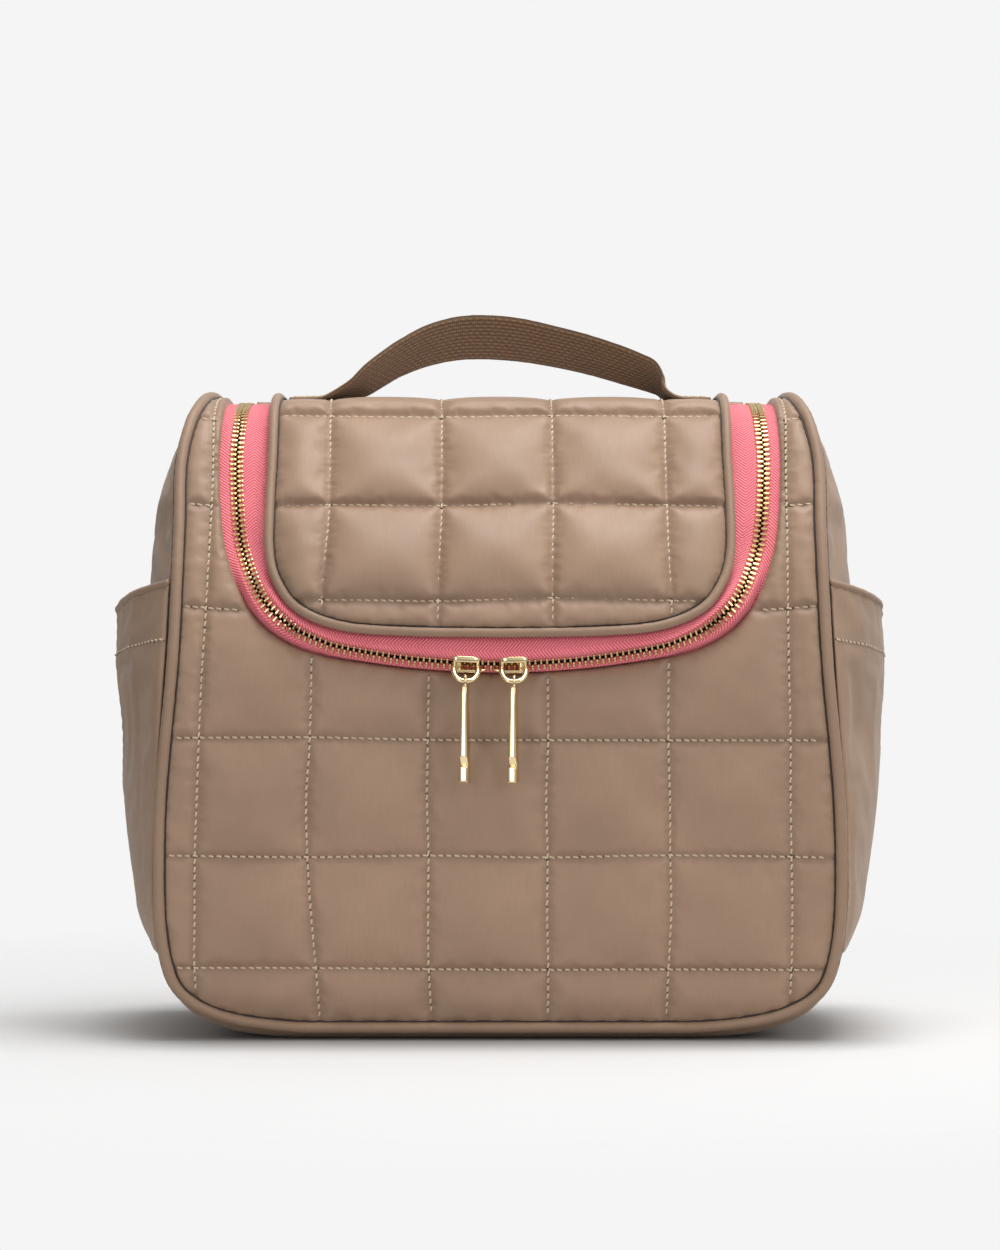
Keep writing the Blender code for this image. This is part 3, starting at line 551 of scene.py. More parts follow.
def triangulate(loop, seams, step):
    """Fill a closed loop with even triangles that follow the seams.

    Returns the points, triangles, the pinned mask and the distance to the nearest seam or edge."""
    ring = resample(np.vstack([loop, loop[:1]]), step)[:-1]
    points = [tuple(p) for p in ring]
    edges = [(i, (i + 1) % len(ring)) for i in range(len(ring))]
    lines = []
    ring_tree = tree_of(resample(np.vstack([loop, loop[:1]]), 0.5))
    for seam in seams:
        line = resample(seam, step)
        keep = inside(ring, line) & (distances(ring_tree, line) > 0.4 * step)
        lines.append(resample(seam, 0.5)[inside(ring, resample(seam, 0.5))])
        last = None
        for p, ok in zip(line, keep):
            if ok:
                points.append(tuple(p))
                if last is not None:
                    edges.append((last, len(points) - 1))
                last = len(points) - 1
            else:
                last = None
    fixed = len(points)
    close = tree_of(points)
    low, high = ring.min(axis=0), ring.max(axis=0)
    rows = int((high[1] - low[1]) / (step * 0.866)) + 1
    cols = int((high[0] - low[0]) / step) + 1
    grid = np.array([(low[0] + (c + 0.5 * (r % 2)) * step, low[1] + r * step * 0.866)
                     for r in range(rows) for c in range(cols)])
    grid = grid[inside(ring, grid)]
    grid = grid[distances(close, grid) > 0.72 * step]
    points += [tuple(p) for p in grid]
    flat, _, faces, origins, _, _ = geometry.delaunay_2d_cdt([Vector(p) for p in points], edges, [], 0, 1e-4)
    flat = np.array([tuple(p) for p in flat])
    faces = np.array([tuple(f) for f in faces])
    faces = faces[inside(ring, flat[faces].mean(axis=1))]
    pinned = np.array([len(o) == 0 or min(o) < fixed for o in origins])
    used = np.zeros(len(flat), bool)
    used[faces.ravel()] = True
    index = np.cumsum(used) - 1
    faces, flat, pinned = index[faces], flat[used], pinned[used]
    dense = np.vstack([resample(np.vstack([loop, loop[:1]]), 0.5)] + [x for x in lines if len(x)])
    gap = distances(tree_of(dense), flat)
    return flat, faces, pinned, gap


def inflate(start, faces, pinned, pressure=30.0, grow=0.02, extra=None, extra_grow=0.0, bend=0.1, frames=18, cap=5.0,
            stiff=15.0, mass=0.3):
    """Blow the sheet up with a cloth simulation and return the moved points, in millimetres."""
    mesh = bpy.data.meshes.new("sim")
    mesh.from_pydata([tuple(p) for p in start * MM], [], [tuple(int(k) for k in f) for f in faces])
    thing = bpy.data.objects.new("sim", mesh)
    scene.collection.objects.link(thing)
    group = thing.vertex_groups.new(name="pin")
    group.add([int(i) for i in np.nonzero(pinned)[0]], 1.0, "ADD")
    modifier = thing.modifiers.new("cloth", "CLOTH")
    cloth = modifier.settings
    cloth.quality = 4
    cloth.mass = mass
    cloth.vertex_group_mass = "pin"
    cloth.tension_stiffness = stiff
    cloth.compression_stiffness = stiff
    cloth.shear_stiffness = stiff / 3
    cloth.bending_stiffness = bend
    cloth.use_pressure = True
    cloth.uniform_pressure_force = pressure
    cloth.shrink_min = -grow
    if extra is not None:
        slack = thing.vertex_groups.new(name="slack")
        for i, weight in enumerate(extra):
            slack.add([i], float(min(max(weight, 0.0), 1.0)), "ADD")
        cloth.vertex_group_shrink = "slack"
        cloth.shrink_max = -(grow + extra_grow)
    cloth.effector_weights.gravity = 0.0
    modifier.collision_settings.use_collision = False
    modifier.point_cache.frame_start = 1
    modifier.point_cache.frame_end = frames + 1
    for number in range(1, frames + 1):
        scene.frame_set(number)
    result = thing.evaluated_get(bpy.context.evaluated_depsgraph_get()).to_mesh()
    moved = np.zeros(len(result.vertices) * 3, np.float64)
    result.vertices.foreach_get("co", moved)
    moved = moved.reshape(-1, 3) / MM
    bpy.data.objects.remove(thing)
    scene.frame_set(1)
    shift = moved - start
    size = np.linalg.norm(shift, axis=1, keepdims=True)
    return start + shift * np.minimum(1.0, cap / np.maximum(size, 1e-6))


def settle(shift, faces, weight, rounds=12):
    """Average the shift over its neighbours where the weight is high, which leaves the puckers beside the seams."""
    pairs = np.vstack([faces[:, [0, 1]], faces[:, [1, 2]], faces[:, [2, 0]]])
    pairs = np.vstack([pairs, pairs[:, ::-1]])
    count = np.bincount(pairs[:, 0], minlength=len(shift))
    for _ in range(rounds):
        mean = np.stack([np.bincount(pairs[:, 0], weights=shift[pairs[:, 1], k], minlength=len(shift)) / count
                         for k in range(3)], axis=1)
        shift = shift + (mean - shift) * weight[:, None]
    return shift


def ripple(points, scale, seed):
    """Return smooth noise in -1..1 at the 2D or 3D points."""
    return np.array([noise.noise(Vector((p[0] / scale, p[1] / scale, seed + (p[2] / scale if len(p) > 2 else 0.0))))
                     for p in points])


def border_edges(faces):
    """Return the directed edges that only one face uses."""
    seen = {}
    for f in faces:
        for k in range(len(f)):
            a, b = int(f[k]), int(f[(k + 1) % len(f)])
            seen[(a, b)] = True
    return [(a, b) for (a, b) in seen if (b, a) not in seen]


def quilt(name, loop, seams, place, material, step=1.8, base=-1.0, puff=3.2, round_at=15.0,
          grow=0.018, pressure=30.0, extra=None, extra_grow=0.0, bend=0.1, rim=2.2, seed=1.0, cap=4.5, soft=0.25,
          frames=18, droop=0.0, levels=None, press=None, ridge=None):
    """Make a padded, stitched panel: pinned along its seams and blown up between them."""
    flat, faces, pinned, gap = triangulate(loop, seams, step)
    full = np.clip(gap / round_at, 0.0, 1.0)
    dome = np.sqrt(1.0 - (1.0 - full) ** 2)
    off = base + dome * puff * (1.0 + 0.10 * ripple(flat, 38.0, seed)) + dome * soft * ripple(flat, 6.0, seed + 7.0)
    along = flat[:, 1].copy()
    if levels is not None:
        low = np.interp(along, levels, np.arange(len(levels), dtype=float))
        cell = low - np.floor(low)
        off += dome * puff * droop * (0.55 - cell)
        along = along - dome ** 2 * puff * droop * 0.9 * (1.0 - cell) ** 0.5
    if press is not None:
        flatten = press(flat)
        off = off * (1.0 - flatten) + (base + 0.6) * flatten
        pinned = pinned | (flatten > 0.9)
    start = place(flat[:, 0], along, off)
    probe = place(flat[:1, 0], flat[:1, 1], off[:1] + 1.0) - start[:1]
    first = faces[np.any(faces == 0, axis=1)][0]
    turn = np.cross(start[first[1]] - start[first[0]], start[first[2]] - start[first[0]])
    if np.dot(turn, probe[0]) < 0:
        faces = faces[:, ::-1]
    weights = None if extra is None else extra(flat)
    moved = inflate(start, faces, pinned, pressure, grow, weights, extra_grow, bend, frames, cap)
    moved = start + settle(moved - start, faces, np.clip((gap - 6.5) / 7.0, 0.0, 0.80), 6)
    moved = settle(moved, faces, np.clip((gap - 2.8) / 8.0, 0.0, 0.65), 9)
    if ridge is not None:
        moved[:, 2] = np.where(moved[:, 2] > ridge, ridge + (moved[:, 2] - ridge) * 0.35, moved[:, 2])
    rim_pairs = border_edges(faces)
    ring = sorted({i for pair in rim_pairs for i in pair})
    below = {i: len(moved) + k for k, i in enumerate(ring)}
    under = place(flat[ring, 0], flat[ring, 1], np.full(len(ring), base - rim))
    vertices = np.vstack([moved, under])
    polygons = [tuple(int(k) for k in f) for f in faces]
    polygons += [(b, a, below[a], below[b]) for a, b in rim_pairs]
    uv = np.vstack([flat, flat[ring]]) / 10.0
    # The 'seam' attribute for painted shade: 1 on the seam lines and the tucked rim, fading within about 1.5 mm.
    seam = np.concatenate([np.exp(-(gap / 1.5) ** 2), np.ones(len(ring))])
    thing = make_object(name, vertices, polygons, material, uv, seam)
    subdivide(thing)
    return thing


STITCH = [(-0.62, 0.9, -0.7), (-0.5, 1.0, -0.5), (-0.38, 1.0, 0.25), (0.0, 1.1, 0.75), (0.38, 1.0, 0.25),
          (0.5, 1.0, -0.5), (0.62, 0.9, -0.7)]
# Which rings of each stitch are painted near black: painted shade where the thread goes into its needle holes.
STITCH_HOLE_SHADE = np.repeat([1.0, 1.0, 0.0, 0.0, 0.0, 1.0, 1.0], 6)


def stitch_row(line, normals, rng, pitch=3.1, length=2.45, radius=0.40, lift=0.8):
    """Return the vertices and faces of a row of sewn threads along a 3D line."""
    lengths = np.linalg.norm(np.diff(line, axis=0), axis=1)
    s = np.concatenate([[0.0], np.cumsum(lengths)])
    vertices, faces = [], []
    count = int(s[-1] / pitch)
    for k in range(count):
        mid = (k + 0.5) * pitch + rng.uniform(-0.12, 0.12)
        size = length * rng.uniform(0.92, 1.06)
        rings = []
        slant = 0.24 * rng.uniform(0.6, 1.3)
        for t, thick, high in STITCH:
            at = mid + t * size
            p = np.array([np.interp(at, s, line[:, j]) for j in range(3)])
            n = np.array([np.interp(at, s, normals[:, j]) for j in range(3)])
            n /= np.linalg.norm(n)
            d = np.array([np.interp(at + 0.3, s, line[:, j]) - np.interp(at - 0.3, s, line[:, j]) for j in range(3)])
            d /= np.linalg.norm(d) + 1e-9
            side = np.cross(d, n)
            side /= np.linalg.norm(side) + 1e-9
            p = p + n * (lift + radius * high * 0.6) + side * slant * t * 2.0
            rings.append([p + radius * thick * (math.cos(a) * side + math.sin(a) * n * 0.85)
                          for a in (2 * math.pi * j / 6 for j in range(6))])
        first = len(vertices)
        vertices += [v for ring in rings for v in ring]
        for i in range(len(STITCH) - 1):
            for j in range(6):
                m = (j + 1) % 6
                faces.append((first + i * 6 + j, first + i * 6 + m, first + (i + 1) * 6 + m, first + (i + 1) * 6 + j))
        faces.append(tuple(first + j for j in reversed(range(6))))
        faces.append(tuple(first + 6 * (len(STITCH) - 1) + j for j in range(6)))
    return vertices, faces


def stitch_piece(name, seams, loop, place, base, seed, body, keep=1.5, **options):
    """Sew the seams that lie inside the loop, as one piece of thread on the given body."""
    rng = random.Random(seed)
    vertices, faces = [], []
    tree = tree_of(resample(np.vstack([loop, loop[:1]]), 0.5)) if loop is not None else None
    for seam in seams:
        line = resample(seam, 1.0)
        if loop is not None:
            ok = inside(loop, line) & (distances(tree, line) > keep)
        else:
            ok = np.ones(len(line), bool)
        start = None
        for i in range(len(line) + 1):
            good = i < len(line) and ok[i]
            if good and start is None:
                start = i
            if not good and start is not None:
                part = line[start:i]
                if len(part) > 4:
                    p = place(part[:, 0], part[:, 1], np.full(len(part), base))
                    n = place(part[:, 0], part[:, 1], np.full(len(part), base + 1.0)) - p
                    v, f = stitch_row(p, n, rng, **options)
                    faces += [tuple(k + len(vertices) for k in face) for face in f]
                    vertices += v
                start = None
    thing = make_object(name, vertices, faces, thread, seam=np.tile(STITCH_HOLE_SHADE, len(vertices) // len(STITCH_HOLE_SHADE)))
    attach(thing, body)
    return thing


def tube(name, centre, radius, material, body, sides=14, loop=False, twist=1.0, seed=2.0, step=0.9, ends=True):
    """Add a fabric-covered cord with slanting pulls in its cover."""
    centre = np.asarray(centre, float)
    if loop:
        centre = resample(np.vstack([centre, centre[:1]]), step)[:-1]
    else:
        centre = resample(centre, step)
    count = len(centre)
    vertices, uv, side = [], [], None
    for i in range(count):
        before = centre[i - 1] if i or loop else centre[i]
        after = centre[(i + 1) % count] if i < count - 1 or loop else centre[i]
        tangent = (after - before) / np.linalg.norm(after - before)
        if side is None:
            side = np.array([0.0, 0.0, 1.0]) if abs(tangent[2]) < 0.8 else np.array([0.0, 1.0, 0.0])
        side = side - tangent * np.dot(side, tangent)
        side /= np.linalg.norm(side)
        other = np.cross(tangent, side)
        along = i * step
        swell = 1.0 + 0.035 * noise.noise(Vector((along / 9.0, seed, 0.0)))
        for k in range(sides):
            a = 2 * math.pi * k / sides
            pull = noise.noise(Vector((along / 2.6 + 1.4 * a, seed + 3.0, math.cos(a) * 1.2)))
            fold = max(0.0, noise.noise(Vector((along / 7.0, seed + 9.0, 0.0)))) * math.sin(along * 1.55 + 2.0 * a)
            r = radius * (swell + twist * (0.065 * pull + 0.085 * fold))
            vertices.append(centre[i] + r * (math.cos(a) * side + math.sin(a) * other))
            uv.append((along / 10.0, a * radius / 10.0))
    faces = []
    for i in range(count if loop else count - 1):
        n = (i + 1) % count
        for k in range(sides):
            m = (k + 1) % sides
            faces.append((i * sides + k, i * sides + m, n * sides + m, n * sides + k))
    if not loop and ends:
        faces.append(tuple(reversed(range(sides))))
        faces.append(tuple((count - 1) * sides + k for k in range(sides)))
    thing = make_object(name, vertices, faces, material, uv, np.full(len(vertices), 0.15))
    if body:
        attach(thing, body)
    return thing


def slab(name, outer, inner, material, uv_scale=0.1, uv=None):
    """Add a closed sheet between two equal grids of points."""
    outer, inner = np.asarray(outer, float), np.asarray(inner, float)
    rows, cols = outer.shape[:2]
    below = rows * cols
    faces = []
    for i in range(rows - 1):
        for j in range(cols - 1):
            q = (i * cols + j, i * cols + j + 1, (i + 1) * cols + j + 1, (i + 1) * cols + j)
            faces.append(q)
            faces.append(tuple(below + k for k in reversed(q)))
    rim = [j for j in range(cols)] + [i * cols + cols - 1 for i in range(1, rows)]
    rim += [(rows - 1) * cols + j for j in range(cols - 2, -1, -1)] + [i * cols for i in range(rows - 2, 0, -1)]
    for a, b in zip(rim, rim[1:] + rim[:1]):
        faces.append((b, a, below + a, below + b))
    if uv is None:
        along = np.concatenate([[0.0], np.cumsum(np.linalg.norm(np.diff(outer[:, cols // 2], axis=0), axis=1))])
        across = np.concatenate([[0.0], np.cumsum(np.linalg.norm(np.diff(outer[rows // 2], axis=0), axis=1))])
        uv = np.stack(np.meshgrid(across, along), axis=-1) * uv_scale
    uv = np.asarray(uv, float).reshape(-1, 2)
    vertices = np.vstack([outer.reshape(-1, 3), inner.reshape(-1, 3)])
    middle = rows // 2 * cols + cols // 2
    face = np.cross(vertices[middle + 1] - vertices[middle], vertices[middle + cols] - vertices[middle])
    if np.dot(face, vertices[middle] - vertices[below + middle]) < 0:
        faces = [tuple(reversed(f)) for f in faces]
    return make_object(name, vertices, faces, material, np.vstack([uv, uv]), np.zeros(len(vertices)))


# ---------------------------------------------------------------- quilting lines, as (x, height) on the front
def on_front(points):
    """Turn (x, z) points on the front into (x, s) and smooth them."""
    return spline([(x, float(wrap.s_at_height(z))) for x, z in points], 6)


top_seam = float(wrap.s_at_height(246.0))
rear_end = wrap.length - 0.5

body_seams = [
    np.vstack([[(-110.0, rear_end), (-112.6, top_seam + 30.0)],
               on_front([(-114.0, 244), (-113.6, 226), (-113.8, 208), (-115.2, 170), (-116.6, 146), (-117.8, 119),
                         (-118.6, 96), (-119.4, 73), (-119.6, 50), (-119.8, 28.5), (-118.4, 6.5)])]),
    on_front([(-73.6, 158), (-74.4, 119), (-75.8, 96), (-75.4, 73), (-74.0, 50), (-72.2, 28.5), (-70.6, 5.5)]),
    on_front([(-27.8, 152), (-28.2, 119), (-28.6, 96), (-28.0, 73), (-28.2, 50), (-28.0, 28.5), (-26.6, 5.5)]),
    on_front([(18.6, 150), (18.8, 119), (18.0, 96), (18.6, 73), (18.4, 50), (18.9, 28.5), (18.6, 5.5)]),
    on_front([(66.0, 154), (65.8, 119), (66.4, 96), (66.6, 73), (67.0, 50), (66.0, 28.5), (65.2, 5.5)]),
    np.vstack([[(110.0, rear_end), (112.4, top_seam + 30.0)],
               on_front([(113.8, 244), (113.2, 226), (113.0, 208), (112.8, 170), (113.0, 146), (113.6, 119),
                         (113.6, 96), (114.0, 73), (114.4, 50), (114.2, 28.5), (113.4, 6.5)])]),
]
for z, tilt in ((119.0, -0.6), (73.0, 0.4), (28.5, -0.3)):
    body_seams.append(on_front([(-134.0, z + 0.3), (-75.0, z - tilt), (-28.0, z + 0.7 * tilt), (18.5, z - 0.5),
                                (66.0, z + tilt), (134.0, z - 0.6)]))
for z in (170.0, 210.0, 244.0):
    for sign in (-1.0, 1.0):
        body_seams.append(on_front([(sign * 131.0, z + 1.5), (sign * 114.0, z), (sign * 98.0, z - 1.0)]))

lid_seams = []
for top, low in ((-67.5, -69.6), (-23.2, -24.2), (20.7, 20.6), (65.4, 67.0)):
    lid_seams.append(np.vstack([[(top, rear_end), (top - 0.4, top_seam + 32.0)],
                                on_front([(top, 244), (top + 0.3, 209), (0.5 * (top + low), 188), (low, 171),
                                          (low, 150)])]))
for s in (float(wrap.s_at_height(171.5)), float(wrap.s_at_height(209.0)), top_seam - 1.0, top_seam + 45.0):
    lid_seams.append(spline([(-93.0, s + 0.4), (-68.0, s), (-24.0, s - 0.7), (20.7, s + 0.5), (66.0, s - 0.3),
                             (93.0, s + 0.4)], 6))

# ---------------------------------------------------------------- front panel
BODY_BASE = -1.5
front_outer = inset(outline_xs, 1.5)
front_inner = inset(mouth_xs, -0.3)
front_loop = np.vstack([front_outer, front_inner[::-1]])


def side_slack(flat):
    """More loose cloth beside the cords, most on the right."""
    near = np.clip((np.abs(flat[:, 0]) - 104.0) / 12.0, 0.0, 1.0)
    return near * np.where(flat[:, 0] > 0, 1.0, 0.6) + 0.35 * np.clip(ripple(flat, 30.0, 4.0), 0.0, 1.0)


front_levels = [0.0] + [float(wrap.s_at_height(z)) for z in (28.5, 73.0, 119.0, 170.0, 210.0, 244.0)] + [wrap.length + 9]
front = quilt("front_quilt", front_loop, body_seams, wrap.point, fabric, base=BODY_BASE, puff=3.8, extra=side_slack,
              extra_grow=0.03, seed=1.0, droop=0.25, levels=front_levels)
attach(front, "bag")
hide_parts("front_panel")
stitch_piece("front_stitching", body_seams, front_loop, wrap.point, BODY_BASE, 11, "bag")

# ---------------------------------------------------------------- lid panel
LID_BASE = -1.7
lid_loop = inset(lid_xs, 1.2)
lid_levels = [float(wrap.s_at_height(154.0)), float(wrap.s_at_height(171.5)), float(wrap.s_at_height(209.0)),
              top_seam - 1.0, wrap.length + 20.0]


def under_feet(flat):
    """Flatten the lid's padding under the sewn handle ends and ease it over the top."""
    y = wrap.at(flat[:, 1])[:, 0]
    side = np.clip((np.abs(flat[:, 0]) - 65.5) / 3.0, 0.0, 1.0) * np.clip((88.0 - np.abs(flat[:, 0])) / 2.0, 0.0, 1.0)
    deep = np.clip((y - 6.5) / 3.0, 0.0, 1.0) * np.clip((38.0 - y) / 3.0, 0.0, 1.0)
    over = np.clip((flat[:, 1] - top_seam) / 12.0, 0.0, 1.0) * 0.35
    return np.maximum(side * deep, over)


lid = quilt("lid_quilt", lid_loop, lid_seams, lid_point, fabric, base=LID_BASE, puff=5.4, round_at=17.0, grow=0.02,
            pressure=38.0, seed=5.0, cap=5.5, droop=0.45, levels=lid_levels, press=under_feet,
            ridge=251.0)
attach(lid, "lid")
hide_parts("lid_panel")
stitch_piece("lid_stitching", lid_seams, lid_loop, lid_point, LID_BASE, 12, "lid")

# ---------------------------------------------------------------- back panel
back_half = spline([(x, float(back.s_at_height(z))) for x, z in BACK_OUTLINE], 8)
back_ring = np.vstack([back_half, [(-x, s) for x, s in back_half[::-1][1:]]])


def shrink_loop(loop, distance):
    """Move a closed loop inwards."""
    ahead, behind = np.roll(loop, -1, axis=0), np.roll(loop, 1, axis=0)
    tangent = ahead - behind
    tangent /= np.linalg.norm(tangent, axis=1, keepdims=True)
    moved = loop + distance * np.stack([-tangent[:, 1], tangent[:, 0]], axis=1)
    area = 0.5 * np.sum(loop[:, 0] * ahead[:, 1] - ahead[:, 0] * loop[:, 1])
    if area < 0:
        moved = loop - distance * np.stack([-tangent[:, 1], tangent[:, 0]], axis=1)
    return moved


keep = np.concatenate([[True], np.linalg.norm(np.diff(back_ring, axis=0), axis=1) > 0.3])
back_loop = shrink_loop(back_ring[keep], 1.4)
back_seams = []
for x in (-93.0, -46.5, 0.0, 46.5, 93.0):
    back_seams.append(spline([(x, 3.0), (x * 1.01 + 0.5, 60.0), (x * 1.01 - 0.4, 120.0), (x, 180.0), (x * 0.98, 238.0)],
                             6))
for s in (26.0, 72.0, 118.5, 165.0, 211.0):
    back_seams.append(spline([(-132.0, s + 0.3), (-60.0, s - 0.5), (0.0, s + 0.4), (60.0, s - 0.3), (132.0, s)], 6))
rear = quilt("back_quilt", back_loop, back_seams, back.point, fabric, step=2.3, base=BODY_BASE, puff=3.8, seed=9.0)
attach(rear, "bag")
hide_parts("back_panel")
stitch_piece("back_stitching", back_seams, back_loop, back.point, BODY_BASE, 13, "bag")


# ---------------------------------------------------------------- gussets and pockets
def gusset_rows(first, per):
    """Return smooth (front point, back point, bulge, pocket gap) rows, left side."""
    keys = []
    for front_key, rear_key, bulge, gap in GUSSET[first:]:
        x, s = station(front_key)
        f = wrap.point(x, s, 0.0)
        b = back.point(rear_key[0], back.s_at_height(rear_key[1]), 0.0)
        keys.append([-f[0], f[1], f[2], -b[0], b[1], b[2], bulge, gap])
    return spline(keys, per)


def gusset_grid(first, per, cols, edge, off, pocket):
    """Return rows x cols points of a side sheet on the left side, and its (across, along) lengths."""
    rows = gusset_rows(first, per)
    points = np.zeros((len(rows), cols, 3))
    for i, row in enumerate(rows):
        f, b = row[0:3], row[3:6]
        span = np.linalg.norm(b - f)
        trim = edge + 3.2 * max(0.0, 1.0 - (2 * first + 2.0 * i / per) / 9.0)
        t = (trim + (span - 2.0 * trim) * np.arange(cols) / (cols - 1)) / span
        gap = max(row[7], 5.5 if i < len(rows) - 2 else 0.0) * (1.0 - 0.45 * (i / (len(rows) - 1.0)) ** 2)
        lift = row[6] * (1.0 - np.abs(2.0 * t - 1.0) ** 2.5) + pocket * gap * (1.0 - (2.0 * t - 1.0) ** 2)
        points[i] = f + (b - f) * t[:, None]
        points[i, :, 0] -= lift + off
    return points


def grid_triangles(rows, cols):
    faces = []
    for i in range(rows - 1):
        for j in range(cols - 1):
            a, b, c, d = i * cols + j, i * cols + j + 1, (i + 1) * cols + j + 1, (i + 1) * cols + j
            faces += [(a, b, c), (a, c, d)] if (i + j) % 2 else [(a, b, d), (b, c, d)]
    return np.array(faces)


def mirrored(points, sign):
    out = np.array(points, float)
    out[..., 0] *= sign
    return out


def side_cloth(first, off, edge, pocket, seed, grow, pressure, folds, sign):
    """Make one side sheet: gusset or pocket, with soft upright folds, pinned along its sides and ends."""
    per = 10 if first else 9
    cols = 64
    points = gusset_grid(first, per, cols, edge, off, pocket)
    rows = len(points)
    j = np.arange(cols) / (cols - 1)
    free = np.sin(math.pi * j)
    for i in range(rows):
        down = i / (rows - 1)
        wave = np.array([noise.noise(Vector((q * 5.5, down * 0.9, seed))) for q in j])
        fine = np.array([noise.noise(Vector((q * 13.0, down * 2.2, seed + 5.0))) for q in j])
        ends = min(1.0, (1.0 - down) * 6.0) * (1.0 if pocket else min(1.0, down * 6.0))
        if pocket:
            points[i, :, 0] += (off - 0.3) * max(0.0, (down - 0.96) / 0.04) ** 2
        points[i, :, 0] -= folds * free ** 0.6 * ends * (wave * 1.6 + fine * 0.7) * (1.0 - 0.45 * down)
    flat = points.reshape(-1, 3)
    faces = grid_triangles(rows, cols)
    a, b, c = flat[faces[len(faces) // 2]]
    if np.cross(b - a, c - a)[0] > 0:
        faces = faces[:, ::-1]
    pinned = np.zeros((rows, cols), bool)
    pinned[:, [0, -1]] = True
    pinned[-1] = True
    pinned[0] = True
    moved = inflate(flat, faces, pinned.ravel(), pressure, grow, bend=0.3, frames=16, cap=3.2)
    moved = mirrored(moved.reshape(rows, cols, 3), sign)
    normal = np.zeros((rows, cols, 3))
    du = np.gradient(moved, axis=1)
    dv = np.gradient(moved, axis=0)
    normal = np.cross(du, dv)
    normal /= np.linalg.norm(normal, axis=-1, keepdims=True)
    normal *= np.where(normal[..., :1] * sign > 0, -1.0, 1.0)
    return moved, normal


for side, sign in (("left", 1.0), ("right", -1.0)):
    moved, normal = side_cloth(0, 0.0, 0.7, 0.0, 20.0 + sign, 0.012, 12.0, 0.9, sign)
    gusset = slab(side + "_gusset", moved, moved - normal * 1.4, plain_fabric)
    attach(gusset, "bag")
    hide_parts(side + "_side_panel")

    moved, normal = side_cloth(POCKET_FROM, 2.9, 0.5, 1.0, 30.0 + sign, 0.008, 7.0, 1.1, sign)
    pocket = slab(side + "_pocket_cloth", moved, moved - normal * 1.0, plain_fabric)
    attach(pocket, "bag")
    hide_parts(side + "_pocket")
    # The hem: a soft rolled edge along the pocket's top and a row of stitches below it
    hem = moved[0] - normal[0] * 0.5
    tube(side + "_pocket_hem", hem, 1.5, plain_fabric, "bag", sides=12, seed=40.0 + sign, twist=1.5)
    line = moved[8]
    v, f = stitch_row(line, normal[8], random.Random(5), lift=0.1)
    hem_thread = make_object(side + "_pocket_stitching", v, f, thread,
                             seam=np.tile(STITCH_HOLE_SHADE, len(v) // len(STITCH_HOLE_SHADE)))
    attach(hem_thread, "bag")


# ---------------------------------------------------------------- base
def base_grid(edge, off, cols):
    """Return the bottom strip's points, flat on the floor and turned up at both ends."""
    ends = [(131.6, 36.0, 128.2), (130.8, 30.0, 127.2), (127.3, 21.0, 121.6), (119.0, 13.0, 112.5), (107.0, 8.0, 100.0),
            (92.0, 5.6, 86.0), (78.0, 5.0, 74.0), (40.0, 5.0, 38.0), (0.0, 5.0, 0.0)]
    bulges = [2.2, 2.4, 3.2, 4.2, 4.8, 5.0, 5.0, 5.0, 5.0]
    outs = [(1.0, 0.0), (1.0, 0.0), (0.89, -0.45), (0.6, -0.8), (0.3, -0.95), (0.08, -1.0), (0.0, -1.0),
            (0.0, -1.0), (0.0, -1.0)]
    half = []
    for (xf, z, xb), bulge, out in zip(ends, bulges, outs):
        f = wrap.point(xf, wrap.s_at_height(z), 0.0)
        b = back.point(xb, back.s_at_height(z), 0.0)
        half.append([f[0], f[1], f[2], b[0], b[1], b[2], bulge, out[0], out[1]])
    left = [[-r[0], *r[1:3], -r[3], *r[4:7], -r[7], r[8]] for r in half]
    rows = spline(left + half[::-1][1:], 8)
    j = np.linspace(0.0, 1.0, cols)
    rise = np.minimum(1.0, np.sqrt(np.clip(1.0 - (1.0 - np.minimum(np.minimum(j, 1.0 - j) / 0.12, 1.0)) ** 2, 0, 1)))
    points = np.zeros((len(rows), cols, 3))
    for i, r in enumerate(rows):
        f, b = np.array(r[0:3]), np.array(r[3:6])
        span = np.linalg.norm(b - f)
        t = (edge + (span - 2.0 * edge) * j) / span
        lift = r[6] * rise + off
        points[i] = f + (b - f) * t[:, None] + lift[:, None] * np.array([r[7], 0.0, r[8]])
    return points


under = base_grid(1.6, 0.0, 40)
under[..., 2] = np.maximum(under[..., 2], 0.02)
base = slab("base_cloth", under, base_grid(2.6, -1.8, 40), plain_fabric)
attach(base, "bag")
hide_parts("base_panel")

# ---------------------------------------------------------------- cords
def shade_tube(name, line, place, off, radius, body, seed):
    """Add a thin near-black tube along the crease between a cord and its panel: painted shade in the crease."""
    tube(name, place(line[:, 0], np.maximum(line[:, 1], 1.5), off), radius, seam_shadow_paint, body, sides=8, seed=seed, twist=3.0)


# Near-black tubes on both sides of the front cord and inside the lid cord: painted shade in the creases.
shade_tube("front_seam_shade", inset(outline_xs, PIPING_R + 0.35), wrap.point, -0.1, 0.40, "bag", 51.0)
shade_tube("front_outer_shade", inset(outline_xs, -PIPING_R - 0.05), wrap.point, -1.6, 0.36, "bag", 52.0)
shade_tube("lid_seam_shade", inset(lid_xs, LID_PIPING_R + 0.30), lid_point, -0.1, 0.36, "lid", 53.0)
front_cord = tube("front_cord", wrap.point(outline_xs[:, 0], outline_xs[:, 1], 0.0), PIPING_R, cord_fabric, "bag",
                  seed=1.0)
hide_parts("front_piping")
rear_line = back.point(back_ring[:, 0], back_ring[:, 1], 0.0)
rear_cord = tube("back_cord", rear_line[keep], PIPING_R, cord_fabric, "bag", loop=True, seed=2.0)
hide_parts("back_piping")
